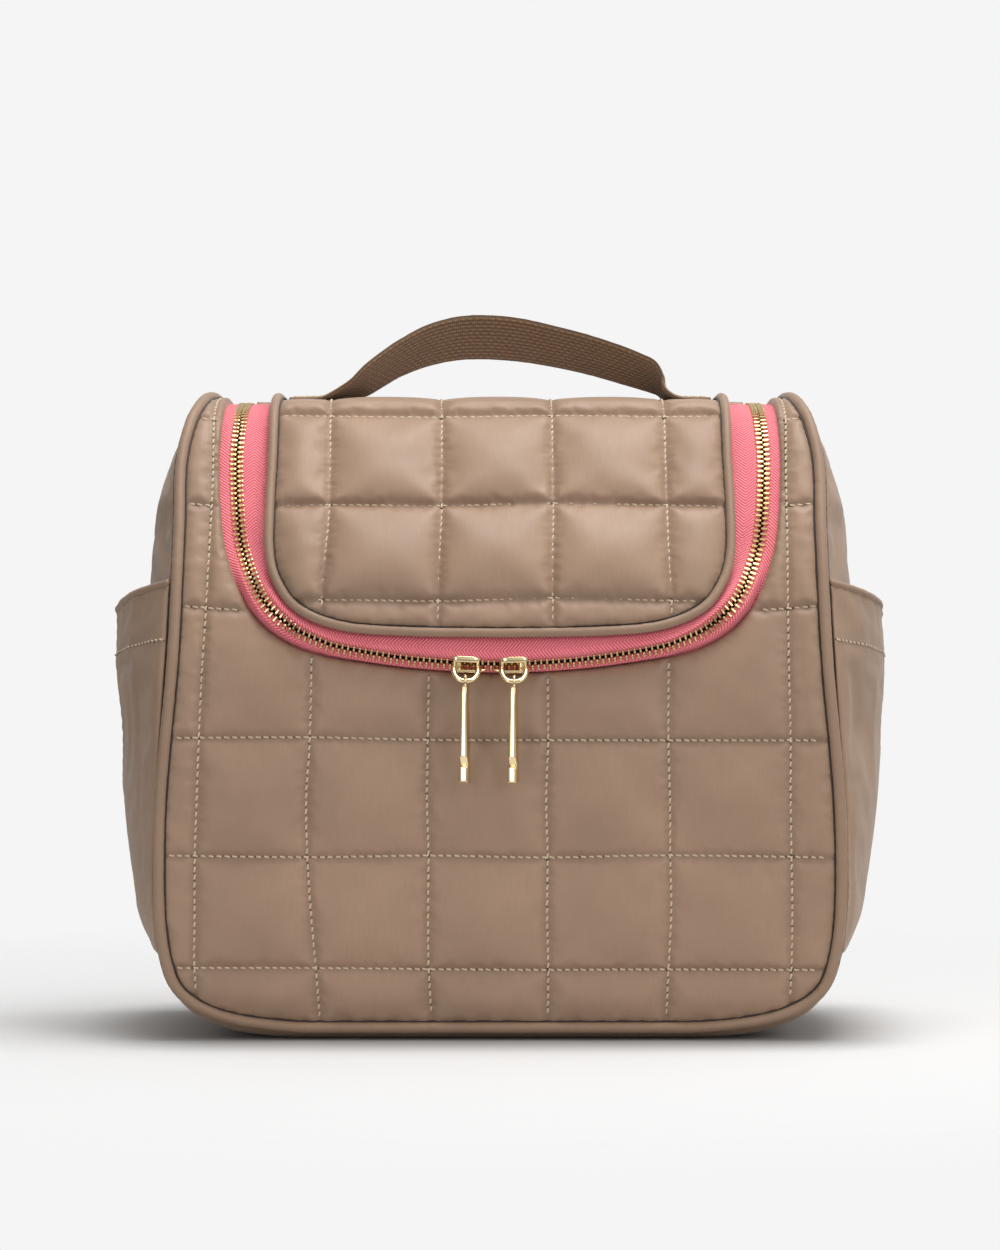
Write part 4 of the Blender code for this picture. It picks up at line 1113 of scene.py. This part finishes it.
lid_cord = tube("lid_cord", lid_point(lid_xs[:, 0], lid_xs[:, 1], 0.0), LID_PIPING_R, cord_fabric, "lid", seed=3.0)
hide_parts("lid_piping")

# ---------------------------------------------------------------- linings
def lining(name, outer, inner, body, node):
    thing = slab(name, outer, inner, lining_fabric)
    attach(thing, body)
    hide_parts(node)
    return thing


def crumple(points, amount, seed):
    """Shift a grid of points along Y and Z by soft noise."""
    out = np.array(points, float)
    flat = out.reshape(-1, 3)
    shift = ripple(flat, 16.0, seed) * amount + ripple(flat, 6.0, seed + 2.0) * amount * 0.4
    return (flat + shift[:, None] * np.array([0.3, 0.8, 0.5])).reshape(out.shape)


mouth_even = inset(mouth_xs, -2.5)
pairs = np.linspace(0, len(mouth_even) - 1, 180).astype(int)
outline_in = inset(outline_xs, 6.0)
grid_x = np.array([[mouth_even[i] * (1 - t) + outline_in[i] * t for t in np.linspace(0, 1, 22)] for i in pairs])
lining("front_lining_cloth", crumple(wrap.point(grid_x[..., 0], grid_x[..., 1], -3.8), 0.35, 3.0),
       crumple(wrap.point(grid_x[..., 0], grid_x[..., 1], -4.4), 0.35, 3.0), "bag", "front_lining")

heights = np.linspace(8.0, back.length - 5.0, 70)
widths = np.interp(back.at(heights)[:, 1], [p[1] for p in reversed(BACK_OUTLINE[:-1])],
                   [p[0] for p in reversed(BACK_OUTLINE[:-1])]) - 6.0
bx = np.linspace(-1.0, 1.0, 60)[None, :] * widths[:, None]
bs = np.repeat(heights[:, None], 60, axis=1)
lining("back_lining_cloth", crumple(back.point(bx, bs, -3.8), 0.35, 5.0), crumple(back.point(bx, bs, -4.4), 0.35, 5.0),
       "bag", "back_lining")
for side, sign in (("left", 1.0), ("right", -1.0)):
    a = gusset_grid(1, 6, 30, 7.0, -3.8, 0.0)
    b = gusset_grid(1, 6, 30, 7.0, -4.4, 0.0)
    lining(side + "_lining_cloth", crumple(mirrored(a, sign), 0.3, 7.0), crumple(mirrored(b, sign), 0.3, 7.0), "bag",
           side + "_lining")
lining("base_lining_cloth", base_grid(8.0, -5.2, 30), base_grid(8.0, -5.8, 30), "bag", "base_lining")

lid_in = inset(lid_xs, 5.0)
middle = len(lid_in) // 2
right_half = lid_in[middle:]
right_half = resample(right_half[right_half[:, 0] > 12.0], 3.0)
cols = np.linspace(-1.0, 1.0, 50)
first_s, last_s = right_half[0, 1], right_half[-1, 1]
lid_rows = []
for k, (x, s) in enumerate(right_half):
    mid = np.interp(k, [0, len(right_half) - 1], [first_s - 0.3, last_s])
    mid = mid if k > 12 else first_s + (right_half[12, 1] - first_s) * (k / 12.0)
    lid_rows.append([(c * x, s * c * c + (s * (1 - c * c))) for c in cols])
lid_rows = np.array(lid_rows)
lining("lid_lining_cloth", lid_point(lid_rows[..., 0], lid_rows[..., 1], -3.9),
       lid_point(lid_rows[..., 0], lid_rows[..., 1], -4.5), "lid", "lid_lining")

# ---------------------------------------------------------------- rear corners
for side, sign in (("left", -1.0), ("right", 1.0)):
    top_z = wrap.at(wrap.s_at_depth(38.0))[1]
    path = spline([(36.5, top_z - 1.2), (44.0, 249.4), (49.6, 246.8), (53.0, 242.4), (54.2, 237.0), (54.9, 231.0)], 5)
    front_end = wrap.point(np.array([113.2]), np.array([wrap.s_at_depth(38.0)]), np.array([-0.6]))[0]
    rear_end = back.point(np.array([111.2]), np.array([back.s_at_height(232.0)]), np.array([-0.6]))[0]
    corner = []
    for k, (y, z) in enumerate(path):
        t = k / (len(path) - 1.0)
        near = 101.8 - 5.5 * min(1.0, max(0.0, (t - 0.3) / 0.25))
        line = front_end + (rear_end - front_end) * t
        far = 110.6 - 1.4 * t
        row = [(near + (far - near) * u, y + 0.25 * math.sin(9.0 * u + 5.0 * t), z + 0.3 * math.sin(7.0 * u + 8.0 * t))
               for u in np.linspace(0.0, 1.0, 9)]
        row += [(far + 1.2, 0.55 * y + 0.45 * line[1], 0.55 * z + 0.45 * line[2]),
                tuple(line + np.array([0.0, 0.0, -0.8]))]
        corner.append(row)
    corner = np.array(corner)
    corner[..., 0] *= sign
    patch = slab(side + "_rear_corner", corner, corner - np.array([0.0, 0.6, 1.0]), plain_fabric)
    subdivide(patch)
    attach(patch, "bag")

# ---------------------------------------------------------------- rear hinge cover
cover = []
for x in np.linspace(-99.0, 99.0, 120):
    path = spline([(44.0 - 3.0, 250.2), (45.5, 250.6), (50.5, 248.2), (53.6, 243.5), (54.8, 239.0)], 5)
    puffed = [(y + 0.35 * noise.noise(Vector((x / 5.0, y / 6.0, 2.0))),
               z + 0.35 * noise.noise(Vector((x / 5.0, z / 6.0, 8.0))))
              for y, z in path]
    cover.append([(x, y, z) for y, z in puffed])
cover = np.array(cover)
inner_cover = cover.copy()
inner_cover[..., 1] -= 0.8
inner_cover[..., 2] -= 1.2
binding = slab("rear_hinge_cover", cover, inner_cover, plain_fabric)
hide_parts("rear_binding")
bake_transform(binding)


# ---------------------------------------------------------------- zip tapes
def nearest(curve, point):
    """Return the point of the polyline nearest to the given point."""
    a, b = curve[:-1], curve[1:]
    span = b - a
    t = np.clip(np.einsum("ij,ij->i", point - a, span) / np.einsum("ij,ij->i", span, span), 0.0, 1.0)
    spots = a + t[:, None] * span
    return spots[np.argmin(np.linalg.norm(spots - point, axis=1))]


def zip_tape(name, sign, edge_curve, body, node, tuck):
    """Woven tape from under the teeth to under its panel, 0.5 mm thick."""
    edge = resample(edge_curve, 1.2)
    rows, uv = [], []
    for i, p in enumerate(chain):
        seek = nearest(edge, p)
        if i in (0, len(chain) - 1):
            seek = edge[0 if i == 0 else -1]
        reach = np.linalg.norm(seek - p)
        s = wrap.s_at_depth(seek[1]) if seek[1] > -15.0 else wrap.s_at_height(seek[2])
        face = np.array([0.0, *wrap.normal(s)])
        away = seek - p
        away -= face * np.dot(away, face)
        away /= np.linalg.norm(away)
        knee = p + sign * min(5.0, max(3.7, 0.5 * reach)) * chain_cross[i]
        keys = [p + sign * 0.9 * chain_cross[i] - 0.7 * chain_up[i], p + sign * 2.6 * chain_cross[i] - 0.2 * chain_up[i],
                knee, seek, seek + away * tuck]
        path = spline(keys, 4)
        rows.append(path)
        across = np.concatenate([[0.0], np.cumsum(np.linalg.norm(np.diff(path, axis=0), axis=1))])
        uv.append([((a - 2.2) / 3.9, i * 1.2) for a in across])
    rows = np.array(rows)
    smooth = rows.copy()
    for _ in range(3):
        smooth[1:-1] = 0.25 * smooth[:-2] + 0.5 * smooth[1:-1] + 0.25 * smooth[2:]
    rows = smooth
    normal = np.cross(np.gradient(rows, axis=1), np.gradient(rows, axis=0))
    normal /= np.linalg.norm(normal, axis=-1, keepdims=True)
    facing = np.einsum("ijk,ik->ij", normal, chain_up)
    normal *= np.where(facing < 0, -1.0, 1.0)[..., None]
    thing = slab(name, rows + normal * 0.27, rows - normal * 0.27, lid_tape, uv=np.array(uv))
    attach(thing, body)
    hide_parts(node)
    return thing


mouth_line = wrap.point(mouth_xs[:, 0], mouth_xs[:, 1], -3.1)
lid_line = lid_point(lid_xs[:, 0], lid_xs[:, 1], -3.2)
zip_tape("body_tape", 1.0, mouth_line, "bag", "body_zip_tape", 3.0)
zip_tape("lid_tape", -1.0, lid_line, "lid", "lid_zip_tape", 3.0)


# ---------------------------------------------------------------- zip teeth
def teeth(name, sign, phase, body, node):
    """A row of separate bevelled metal teeth beside the chain's centre line."""
    lengths = np.linalg.norm(np.diff(chain, axis=0), axis=1)
    s = np.concatenate([[0.0], np.cumsum(lengths)])
    pitch = 2.3
    count = int((s[-1] - 2.0) / pitch)
    vertices, faces = [], []
    profile = [(-1.0, -0.55), (-0.7, -0.9), (0.7, -0.9), (1.0, -0.55), (1.0, 0.5), (0.62, 0.95), (-0.62, 0.95),
               (-1.0, 0.5)]
    stops = [(0.02, 0.55, 0.55), (0.16, 0.92, 0.9), (0.7, 1.0, 1.0), (1.5, 0.92, 0.96), (2.3, 1.0, 1.0),
             (2.6, 0.96, 0.9), (2.74, 0.7, 0.6)]
    for k in range(count):
        at = 1.0 + (k + phase) * pitch
        p, c, u = (np.array([np.interp(at, s, grid[:, j]) for j in range(3)]) for grid in (chain, chain_cross, chain_up))
        c /= np.linalg.norm(c)
        u /= np.linalg.norm(u)
        t = np.cross(u, c)
        first = len(vertices)
        for e, wide, high in stops:
            for a, b in profile:
                vertices.append(p + sign * e * c + t * a * 0.54 * wide + u * b * 0.86 * high)
        ring = len(profile)
        for i in range(len(stops) - 1):
            for j in range(ring):
                m = (j + 1) % ring
                q = (first + i * ring + j, first + i * ring + m, first + (i + 1) * ring + m, first + (i + 1) * ring + j)
                faces.append(q if sign > 0 else tuple(reversed(q)))
        faces.append(tuple(first + j for j in (reversed(range(ring)) if sign > 0 else range(ring))))
        last = first + (len(stops) - 1) * ring
        faces.append(tuple(last + j for j in (range(ring) if sign > 0 else reversed(range(ring)))))
    thing = make_object(name, vertices, faces, tooth_gold, smooth=False)
    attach(thing, body)
    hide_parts(node)
    return thing


teeth("body_teeth", 1.0, 0.0, "bag", "body_zip_teeth")
teeth("lid_teeth", -1.0, 0.5, "lid", "lid_zip_teeth")

# ---------------------------------------------------------------- handle
foot_z = float(lid_point(np.array([76.0]), np.array([wrap.s_at_depth(22.0)]), np.array([LID_BASE + 0.6]))[0][2]) + 0.75
handle_keys = [(-85.0, 22.0, foot_z - 0.1, 0), (-77.0, 22.0, foot_z, 0), (-71.0, 22.0, foot_z + 0.2, 2),
               (-66.0, 22.0, 253.5, 9),
               (-60.0, 22.6, 256.0, 18), (-54.0, 24.4, 259.6, 32), (-47.0, 28.2, 264.4, 36), (-40.0, 32.4, 268.8, 38),
               (-30.0, 37.6, 273.4, 43), (-18.0, 41.2, 276.4, 46), (-6.0, 42.0, 277.0, 47), (7.8, 41.0, 275.9, 46),
               (22.0, 38.6, 273.2, 43), (36.0, 35.0, 269.8, 41), (49.5, 31.0, 265.6, 39), (58.0, 28.2, 262.6, 36),
               (62.6, 26.4, 260.6, 33), (65.8, 24.4, 257.0, 22), (67.8, 22.6, 253.8, 8), (72.0, 22.0, foot_z + 0.2, 2),
               (78.0, 22.0, foot_z, 0), (85.0, 22.0, foot_z - 0.1, 0)]
handle_line = resample(spline(handle_keys, 8), 1.0)
outer, inner, uv = [], [], []
across = np.linspace(-1.0, 1.0, 17)
for i, (x, y, z, tilt) in enumerate(handle_line):
    a = handle_line[max(i - 1, 0)][:3]
    b = handle_line[min(i + 1, len(handle_line) - 1)][:3]
    tangent = (b - a) / np.linalg.norm(b - a)
    angle = math.radians(tilt)
    wide = np.array([0.0, math.cos(angle), -math.sin(angle)])
    wide -= tangent * np.dot(wide, tangent)
    wide /= np.linalg.norm(wide)
    normal = np.cross(tangent, wide)
    if normal[2] < 0:
        normal = -normal
    edge = 12.3 + 0.12 * noise.noise(Vector((i / 3.0, 0.0, 0.0)))
    row_o, row_i, row_uv = [], [], []
    for w in across:
        crown = 0.35 * (1.0 - w * w)
        thin = 0.85 * math.sqrt(max(0.0, 1.0 - max(0.0, (abs(w) - 0.9) / 0.1) ** 2)) + 0.08
        p = np.array([x, y, z]) + wide * edge * w - normal * crown
        row_o.append(p + normal * thin)
        row_i.append(p - normal * thin)
        row_uv.append((edge * w, i * 1.0))
    outer.append(row_o)
    inner.append(row_i)
    uv.append(row_uv)
strap = slab("handle_strap", outer, inner, webbing, uv=np.array(uv))
subdivide(strap)
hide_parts("handle_webbing", "left_handle_foot", "right_handle_foot")
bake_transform(strap)
feet = []
for sign in (-1.0, 1.0):
    box = [(70.5, 12.4), (82.5, 12.4), (82.5, 31.6), (70.5, 31.6), (70.5, 12.4), (82.5, 31.6)]
    feet.append([(sign * x, y) for x, y in box])
    feet.append([(sign * 70.5, 31.6), (sign * 82.5, 12.4)])


def strap_top(x, y, off):
    z = np.interp(x, handle_line[:, 0], handle_line[:, 2])
    return np.stack([x, y, z + 0.55 + off], axis=-1)


stitch_piece("handle_stitching", feet, None, strap_top, 0.0, 14, "lid", pitch=2.6, length=2.0, lift=0.15)

# ---------------------------------------------------------------- sliders and pulls
def slider_frame(x):
    """Return the chain point, tangent and normal directions at x on the bottom arc."""
    z = ZIP_Z + ZIP_R - math.sqrt(ZIP_R ** 2 - x * x)
    spoke = np.array([-x, 0.0, ZIP_Z + ZIP_R - z])
    spoke /= np.linalg.norm(spoke)
    reach = np.array([ZIP_Y - HINGE_Y, ZIP_Z - HINGE_Z])
    reach /= np.linalg.norm(reach)
    normal = np.array([0.0, reach[0], 0.0]) + reach[1] * spoke
    return np.array([x, ZIP_Y, z]), np.array([spoke[2], 0.0, -spoke[0]]), normal


def rounded_plate(outline, corner, low, high, bulge):
    """Return rings of a plate whose rim is rounded, from (a, e) outline points to (a, e, height) rings."""
    rings = []
    for k in range(9):
        turn = math.pi * k / 8
        shrink = corner * (1.0 - math.sin(turn))
        height = low + (high - low) * 0.5 * (1.0 - math.cos(turn))
        rings.append([(a * (1.0 - shrink / 5.2), e * (1.0 - shrink / 4.4), height) for a, e in outline])
    return rings


def loft(rings, close=True):
    """Return the vertices and faces of a closed loft."""
    vertices = [p for ring in rings for p in ring]
    count = len(rings[0])
    faces = []
    for i in range(len(rings) - 1):
        for j in range(count):
            m = (j + 1) % count
            faces.append((i * count + j, i * count + m, (i + 1) * count + m, (i + 1) * count + j))
    faces.append(tuple(reversed(range(count))))
    faces.append(tuple((len(rings) - 1) * count + j for j in range(count)))
    return vertices, faces


def join_parts(parts):
    vertices, faces = [], []
    for v, f in parts:
        faces += [tuple(k + len(vertices) for k in face) for face in f]
        vertices += [tuple(p) for p in v]
    return vertices, faces


def wire(path, radius, sides=12, flat=1.0):
    """Return a round wire along a path, as a closed loft."""
    path = np.asarray(path, float)
    rings, side = [], None
    for i, p in enumerate(path):
        tangent = path[min(i + 1, len(path) - 1)] - path[max(i - 1, 0)]
        tangent /= np.linalg.norm(tangent)
        if side is None:
            side = np.array([0.0, 1.0, 0.0])
        side = side - tangent * np.dot(side, tangent)
        side /= np.linalg.norm(side)
        other = np.cross(tangent, side)
        r = radius[i] if hasattr(radius, "__len__") else radius
        rings.append([p + r * (math.cos(a) * side * flat + math.sin(a) * other)
                      for a in (2 * math.pi * k / sides for k in range(sides))])
    return loft(rings)


def make_slider(side, x, nose):
    """A cast slider: top plate with a rounded rim and turned-down flanges, a lower shell, and a D-shaped bridge."""
    point, tangent, normal = slider_frame(x)
    over = np.cross(tangent, normal)
    up = -0.30 * normal + 0.95 * np.array([0.0, -0.18, 1.0])
    up -= tangent * np.dot(up, tangent)
    up /= np.linalg.norm(up)
    ahead = np.cross(up, tangent)
    if ahead[1] > 0:
        ahead = -ahead

    def place(a, e, h):
        return point + tangent * a + ahead * e + up * h

    outline = []
    for k in range(40):
        turn = 2 * math.pi * k / 40
        c, q = math.cos(turn), math.sin(turn)
        a = 5.7 * math.copysign(abs(c) ** 0.45, c)
        taper = 1.0 - 0.22 * max(0.0, nose * a / 5.3) ** 2
        e = 3.7 * math.copysign(abs(q) ** 0.5, q) * taper
        outline.append((a, e))
    parts = []
    top = [[place(a, e + 0.6, h) for a, e, h in ring] for ring in rounded_plate(outline, 0.55, 0.6, 3.1, 0.0)]
    parts.append(loft(top))
    low = []
    for ring in rounded_plate(outline, 0.5, -3.4, -2.2, 0.0):
        low.append([place(a + nose * 2.2 * max(0.0, nose * a / 5.3) ** 2, e * 0.80 - 0.4,
                          h + 0.9 * max(0.0, nose * a / 5.3) ** 3) for a, e, h in ring])
    parts.append(loft(low))
    for end in (-1.0, 1.0):
        flange = [[place(end * 4.5 + 0.75 * math.cos(t), 2.2 + 1.2 * math.sin(t), h)
                   for t in (2 * math.pi * k / 10 for k in range(10))] for h in (-2.6, -1.2, 0.2, 1.4)]
        parts.append(loft(flange))
    diamond = [[place(-nose * 3.2 + 1.5 * math.cos(t), 0.4 + 1.3 * math.sin(t), h)
                for t in (2 * math.pi * k / 12 for k in range(12))] for h in (-2.4, 0.0, 1.2)]
    parts.append(loft(diamond))
    pivot = point + normal * BRIDGE_TOP
    arch = []
    for k in range(33):
        turn = math.pi * k / 32
        c, q = math.cos(turn), math.sin(turn)
        base = point + ahead * 2.4 + up * (-1.6)
        down = pivot - base
        arch.append(base + tangent * (-4.8) * math.copysign(abs(c) ** 0.85, c) + down * abs(q) ** 0.8)
    parts.append(wire(arch, [1.0 + 0.25 * abs(math.cos(math.pi * k / 32)) ** 3 for k in range(33)], 14))
    vertices, faces = join_parts(parts)
    thing = make_object(side + "_slider_cast", vertices, faces, gold)
    thing.data.shade_smooth()
    bevel = thing.modifiers.new("edges", "BEVEL")
    bevel.width = 0.12 * MM
    bevel.segments = 2
    bevel.limit_method = "ANGLE"
    bevel.angle_limit = math.radians(40)
    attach(thing, side + "_slider")
    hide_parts(side + "_slider")


def make_pull(side, x):
    """A long tapered tab that hangs edge-on: narrow eye at the top, a chamfered shank and a square foot."""
    point, _, normal = slider_frame(x)
    pivot = point + normal * BRIDGE_TOP
    parts = []
    # The eye: a flattened ring round the bridge
    eye = []
    for k in range(25):
        turn = 2 * math.pi * k / 24
        eye.append(pivot + np.array([0.0, 2.05 * math.cos(turn), 0.15 + 2.35 * math.sin(turn) - 0.35]))
    parts.append(wire(eye, 0.62, 10))
    # The shank, turned a little so that its right face shows: (z, front y, back y, half width)
    sections = [(-1.5, -1.3, 1.3, 0.95), (-2.4, -1.9, 1.5, 1.15), (-5.0, -2.4, 1.5, 1.2), (-10.0, -2.8, 1.4, 1.32),
                (-20.0, -3.2, 1.3, 1.58), (-29.0, -3.5, 1.2, 1.80), (-29.5, -3.4, 1.2, 1.82), (-32.7, -2.0, 1.1, 1.86),
                (-33.0, -2.0, 1.1, 1.88), (-33.3, -3.5, 1.1, 2.0), (-33.8, -3.6, 1.1, 2.08), (-38.6, -3.6, 1.0, 2.14),
                (-39.3, -3.5, 0.9, 2.04), (-39.6, -2.9, 0.6, 1.6)]
    yaw = math.radians(19.0)
    rings = []
    for z, front_y, back_y, half in sections:
        ring = []
        for k in range(24):
            c, q = math.cos(2 * math.pi * k / 24), math.sin(2 * math.pi * k / 24)
            px = half * math.copysign(abs(c) ** 0.42, c)
            py = 0.5 * (front_y + back_y) + 0.5 * (back_y - front_y) * math.copysign(abs(q) ** 0.34, q)
            px += 0.35 * half * max(0.0, -c) * max(0.0, -q)
            ring.append(pivot + np.array([px * math.cos(yaw) + py * math.sin(yaw),
                                          py * math.cos(yaw) - px * math.sin(yaw), z]))
        rings.append(ring)
    parts.append(loft(rings))
    vertices, faces = join_parts(parts)
    thing = make_object(side + "_pull_tab", vertices, faces, gold)
    bevel = thing.modifiers.new("edges", "BEVEL")
    bevel.width = 0.14 * MM
    bevel.segments = 3
    bevel.limit_method = "ANGLE"
    bevel.angle_limit = math.radians(38)
    thing.data.shade_smooth()
    sharp = thing.modifiers.new("normals", "WEIGHTED_NORMAL")
    sharp.keep_sharp = True
    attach(thing, side + "_pull")
    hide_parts(side + "_pull")


for side, nose in (("left", 1.0), ("right", -1.0)):
    make_slider(side, SLIDER_X[side], nose)
    make_pull(side, SLIDER_X[side])
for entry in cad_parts["base_board"].material_slots:
    entry.material = board


# ---------------------------------------------------------------- stage, light and camera
def stage_floor():
    """A pale disc that fades into the white background, with a painted contact shadow round the bag's footprint."""
    rings, spokes = 24, 64
    vertices = [(0.0, 0.0, 0.0)]
    for r in range(1, rings + 1):
        radius = 3.0 * (r / rings) ** 1.6
        vertices += [(radius * math.cos(2 * math.pi * k / spokes), radius * math.sin(2 * math.pi * k / spokes), 0.0)
                     for k in range(spokes)]
    faces = [(0, 1 + k, 1 + (k + 1) % spokes) for k in range(spokes)]
    for r in range(rings - 1):
        for k in range(spokes):
            m = (k + 1) % spokes
            a, b = 1 + r * spokes, 1 + (r + 1) * spokes
            faces.append((a + k, b + k, b + m, a + m))
    mesh = bpy.data.meshes.new("floor")
    mesh.from_pydata(vertices, [], faces)
    material, nodes, links, shader = new_material("floor_white_painted_shadow", (0.80, 0.80, 0.80), 0.9)
    coords = nodes.new("ShaderNodeTexCoord")
    length = nodes.new("ShaderNodeVectorMath")
    length.operation = "LENGTH"
    links.new(coords.outputs["Object"], length.inputs[0])
    fade = nodes.new("ShaderNodeMapRange")
    fade.inputs["From Min"].default_value = 0.20
    fade.inputs["From Max"].default_value = 0.50
    fade.inputs["To Min"].default_value = 1.0
    fade.inputs["To Max"].default_value = 0.0
    links.new(length.outputs["Value"], fade.inputs["Value"])
    links.new(fade.outputs["Result"], shader.inputs["Alpha"])
    # Painted contact shadow: the floor colour darkens towards the bag's footprint, under its rounded bottom edge.
    spot = coords.outputs["Object"]
    for operation, value in (("ABSOLUTE", None), ("SUBTRACT", (0.112, 0.052, 0.0)), ("MAXIMUM", (0.0, 0.0, 0.0))):
        node = nodes.new("ShaderNodeVectorMath")
        node.operation = operation
        links.new(spot, node.inputs[0])
        if value is not None:
            node.inputs[1].default_value = value
        spot = node.outputs[0]
    reach = nodes.new("ShaderNodeVectorMath")
    reach.operation = "LENGTH"
    links.new(spot, reach.inputs[0])
    shade = nodes.new("ShaderNodeMapRange")
    shade.interpolation_type = "SMOOTHSTEP"
    for key, value in (("From Min", 0.004), ("From Max", 0.062), ("To Min", 0.0), ("To Max", 1.0)):
        shade.inputs[key].default_value = value
    links.new(reach.outputs["Value"], shade.inputs["Value"])
    links.new(mix_colour(nodes, links, shade.outputs["Result"], (0.36, 0.355, 0.35), (0.74, 0.74, 0.74)),
              shader.inputs["Base Color"])
    mesh.materials.append(material)
    floor = bpy.data.objects.new("floor", mesh)
    scene.collection.objects.link(floor)
    floor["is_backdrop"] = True
    return floor


stage_floor()

world = bpy.data.worlds.new("studio")
scene.world = world
world.use_nodes = True
nodes, links = world.node_tree.nodes, world.node_tree.links
background = nodes["Background"]
background.inputs["Color"].default_value = (1.0, 1.0, 1.0, 1.0)
background.inputs["Strength"].default_value = 0.72
sky = nodes.new("ShaderNodeTexCoord")
parts = nodes.new("ShaderNodeSeparateXYZ")
links.new(sky.outputs["Generated"], parts.inputs[0])
rise = nodes.new("ShaderNodeMapRange")
for key, value in (("From Min", -0.18), ("From Max", 0.10), ("To Min", 0.42), ("To Max", 1.0)):
    rise.inputs[key].default_value = value
links.new(parts.outputs["Z"], rise.inputs["Value"])
sides = nodes.new("ShaderNodeMapRange")
for key, value in (("From Min", -0.9), ("From Max", 0.3), ("To Min", 0.45), ("To Max", 1.0)):
    sides.inputs[key].default_value = value
links.new(parts.outputs["X"], sides.inputs["Value"])
studio = nodes.new("ShaderNodeMath")
studio.operation = "MULTIPLY"
links.new(rise.outputs["Result"], studio.inputs[0])
links.new(sides.outputs["Result"], studio.inputs[1])
links.new(studio.outputs[0], background.inputs["Color"])
seen = nodes.new("ShaderNodeBackground")
seen.inputs["Color"].default_value = (0.913, 0.913, 0.913, 1.0)
seen.inputs["Strength"].default_value = 1.0
path = nodes.new("ShaderNodeLightPath")
mix = nodes.new("ShaderNodeMixShader")
links.new(path.outputs["Is Camera Ray"], mix.inputs[0])
links.new(background.outputs[0], mix.inputs[1])
links.new(seen.outputs[0], mix.inputs[2])
links.new(mix.outputs[0], nodes["World Output"].inputs["Surface"])


def area_light(name, location, target, size, power, colour=(1.0, 1.0, 1.0)):
    light = bpy.data.lights.new(name, "AREA")
    light.shape = "RECTANGLE"
    light.size, light.size_y = size
    light.energy = power
    light.color = colour
    thing = bpy.data.objects.new(name, light)
    thing.location = location
    thing.rotation_euler = (Vector(target) - Vector(location)).to_track_quat("-Z", "Y").to_euler()
    scene.collection.objects.link(thing)
    return thing


area_light("overhead", (0.22, -0.06, 1.45), (0.0, 0.0, 0.15), (0.9, 0.8), 15.0)
area_light("front_left", (-1.2, -1.5, 0.9), (0.0, 0.0, 0.15), (0.8, 1.0), 3.0)
area_light("strip", (-1.02, -1.55, 0.22), (0.0, -0.07, 0.13), (0.45, 0.75), 3.2)
area_light("front_right", (1.3, -1.4, 0.9), (0.0, 0.0, 0.15), (0.8, 1.0), 7.0)

camera = bpy.data.cameras.new("camera")
camera.lens = 177.0
camera.sensor_width = 36.0
camera.clip_start, camera.clip_end = 0.05, 20.0
eye = bpy.data.objects.new("camera", camera)
aim = Vector((0.0, -0.066, 0.1635))
elevation = math.radians(2.0)
distance = 2.40
eye.location = aim + Vector((0.0, -math.cos(elevation), math.sin(elevation))) * distance
eye.rotation_euler = (aim - eye.location).to_track_quat("-Z", "Y").to_euler()
scene.collection.objects.link(eye)
scene.camera = eye
scene.view_settings.view_transform = "Standard"

low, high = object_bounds()
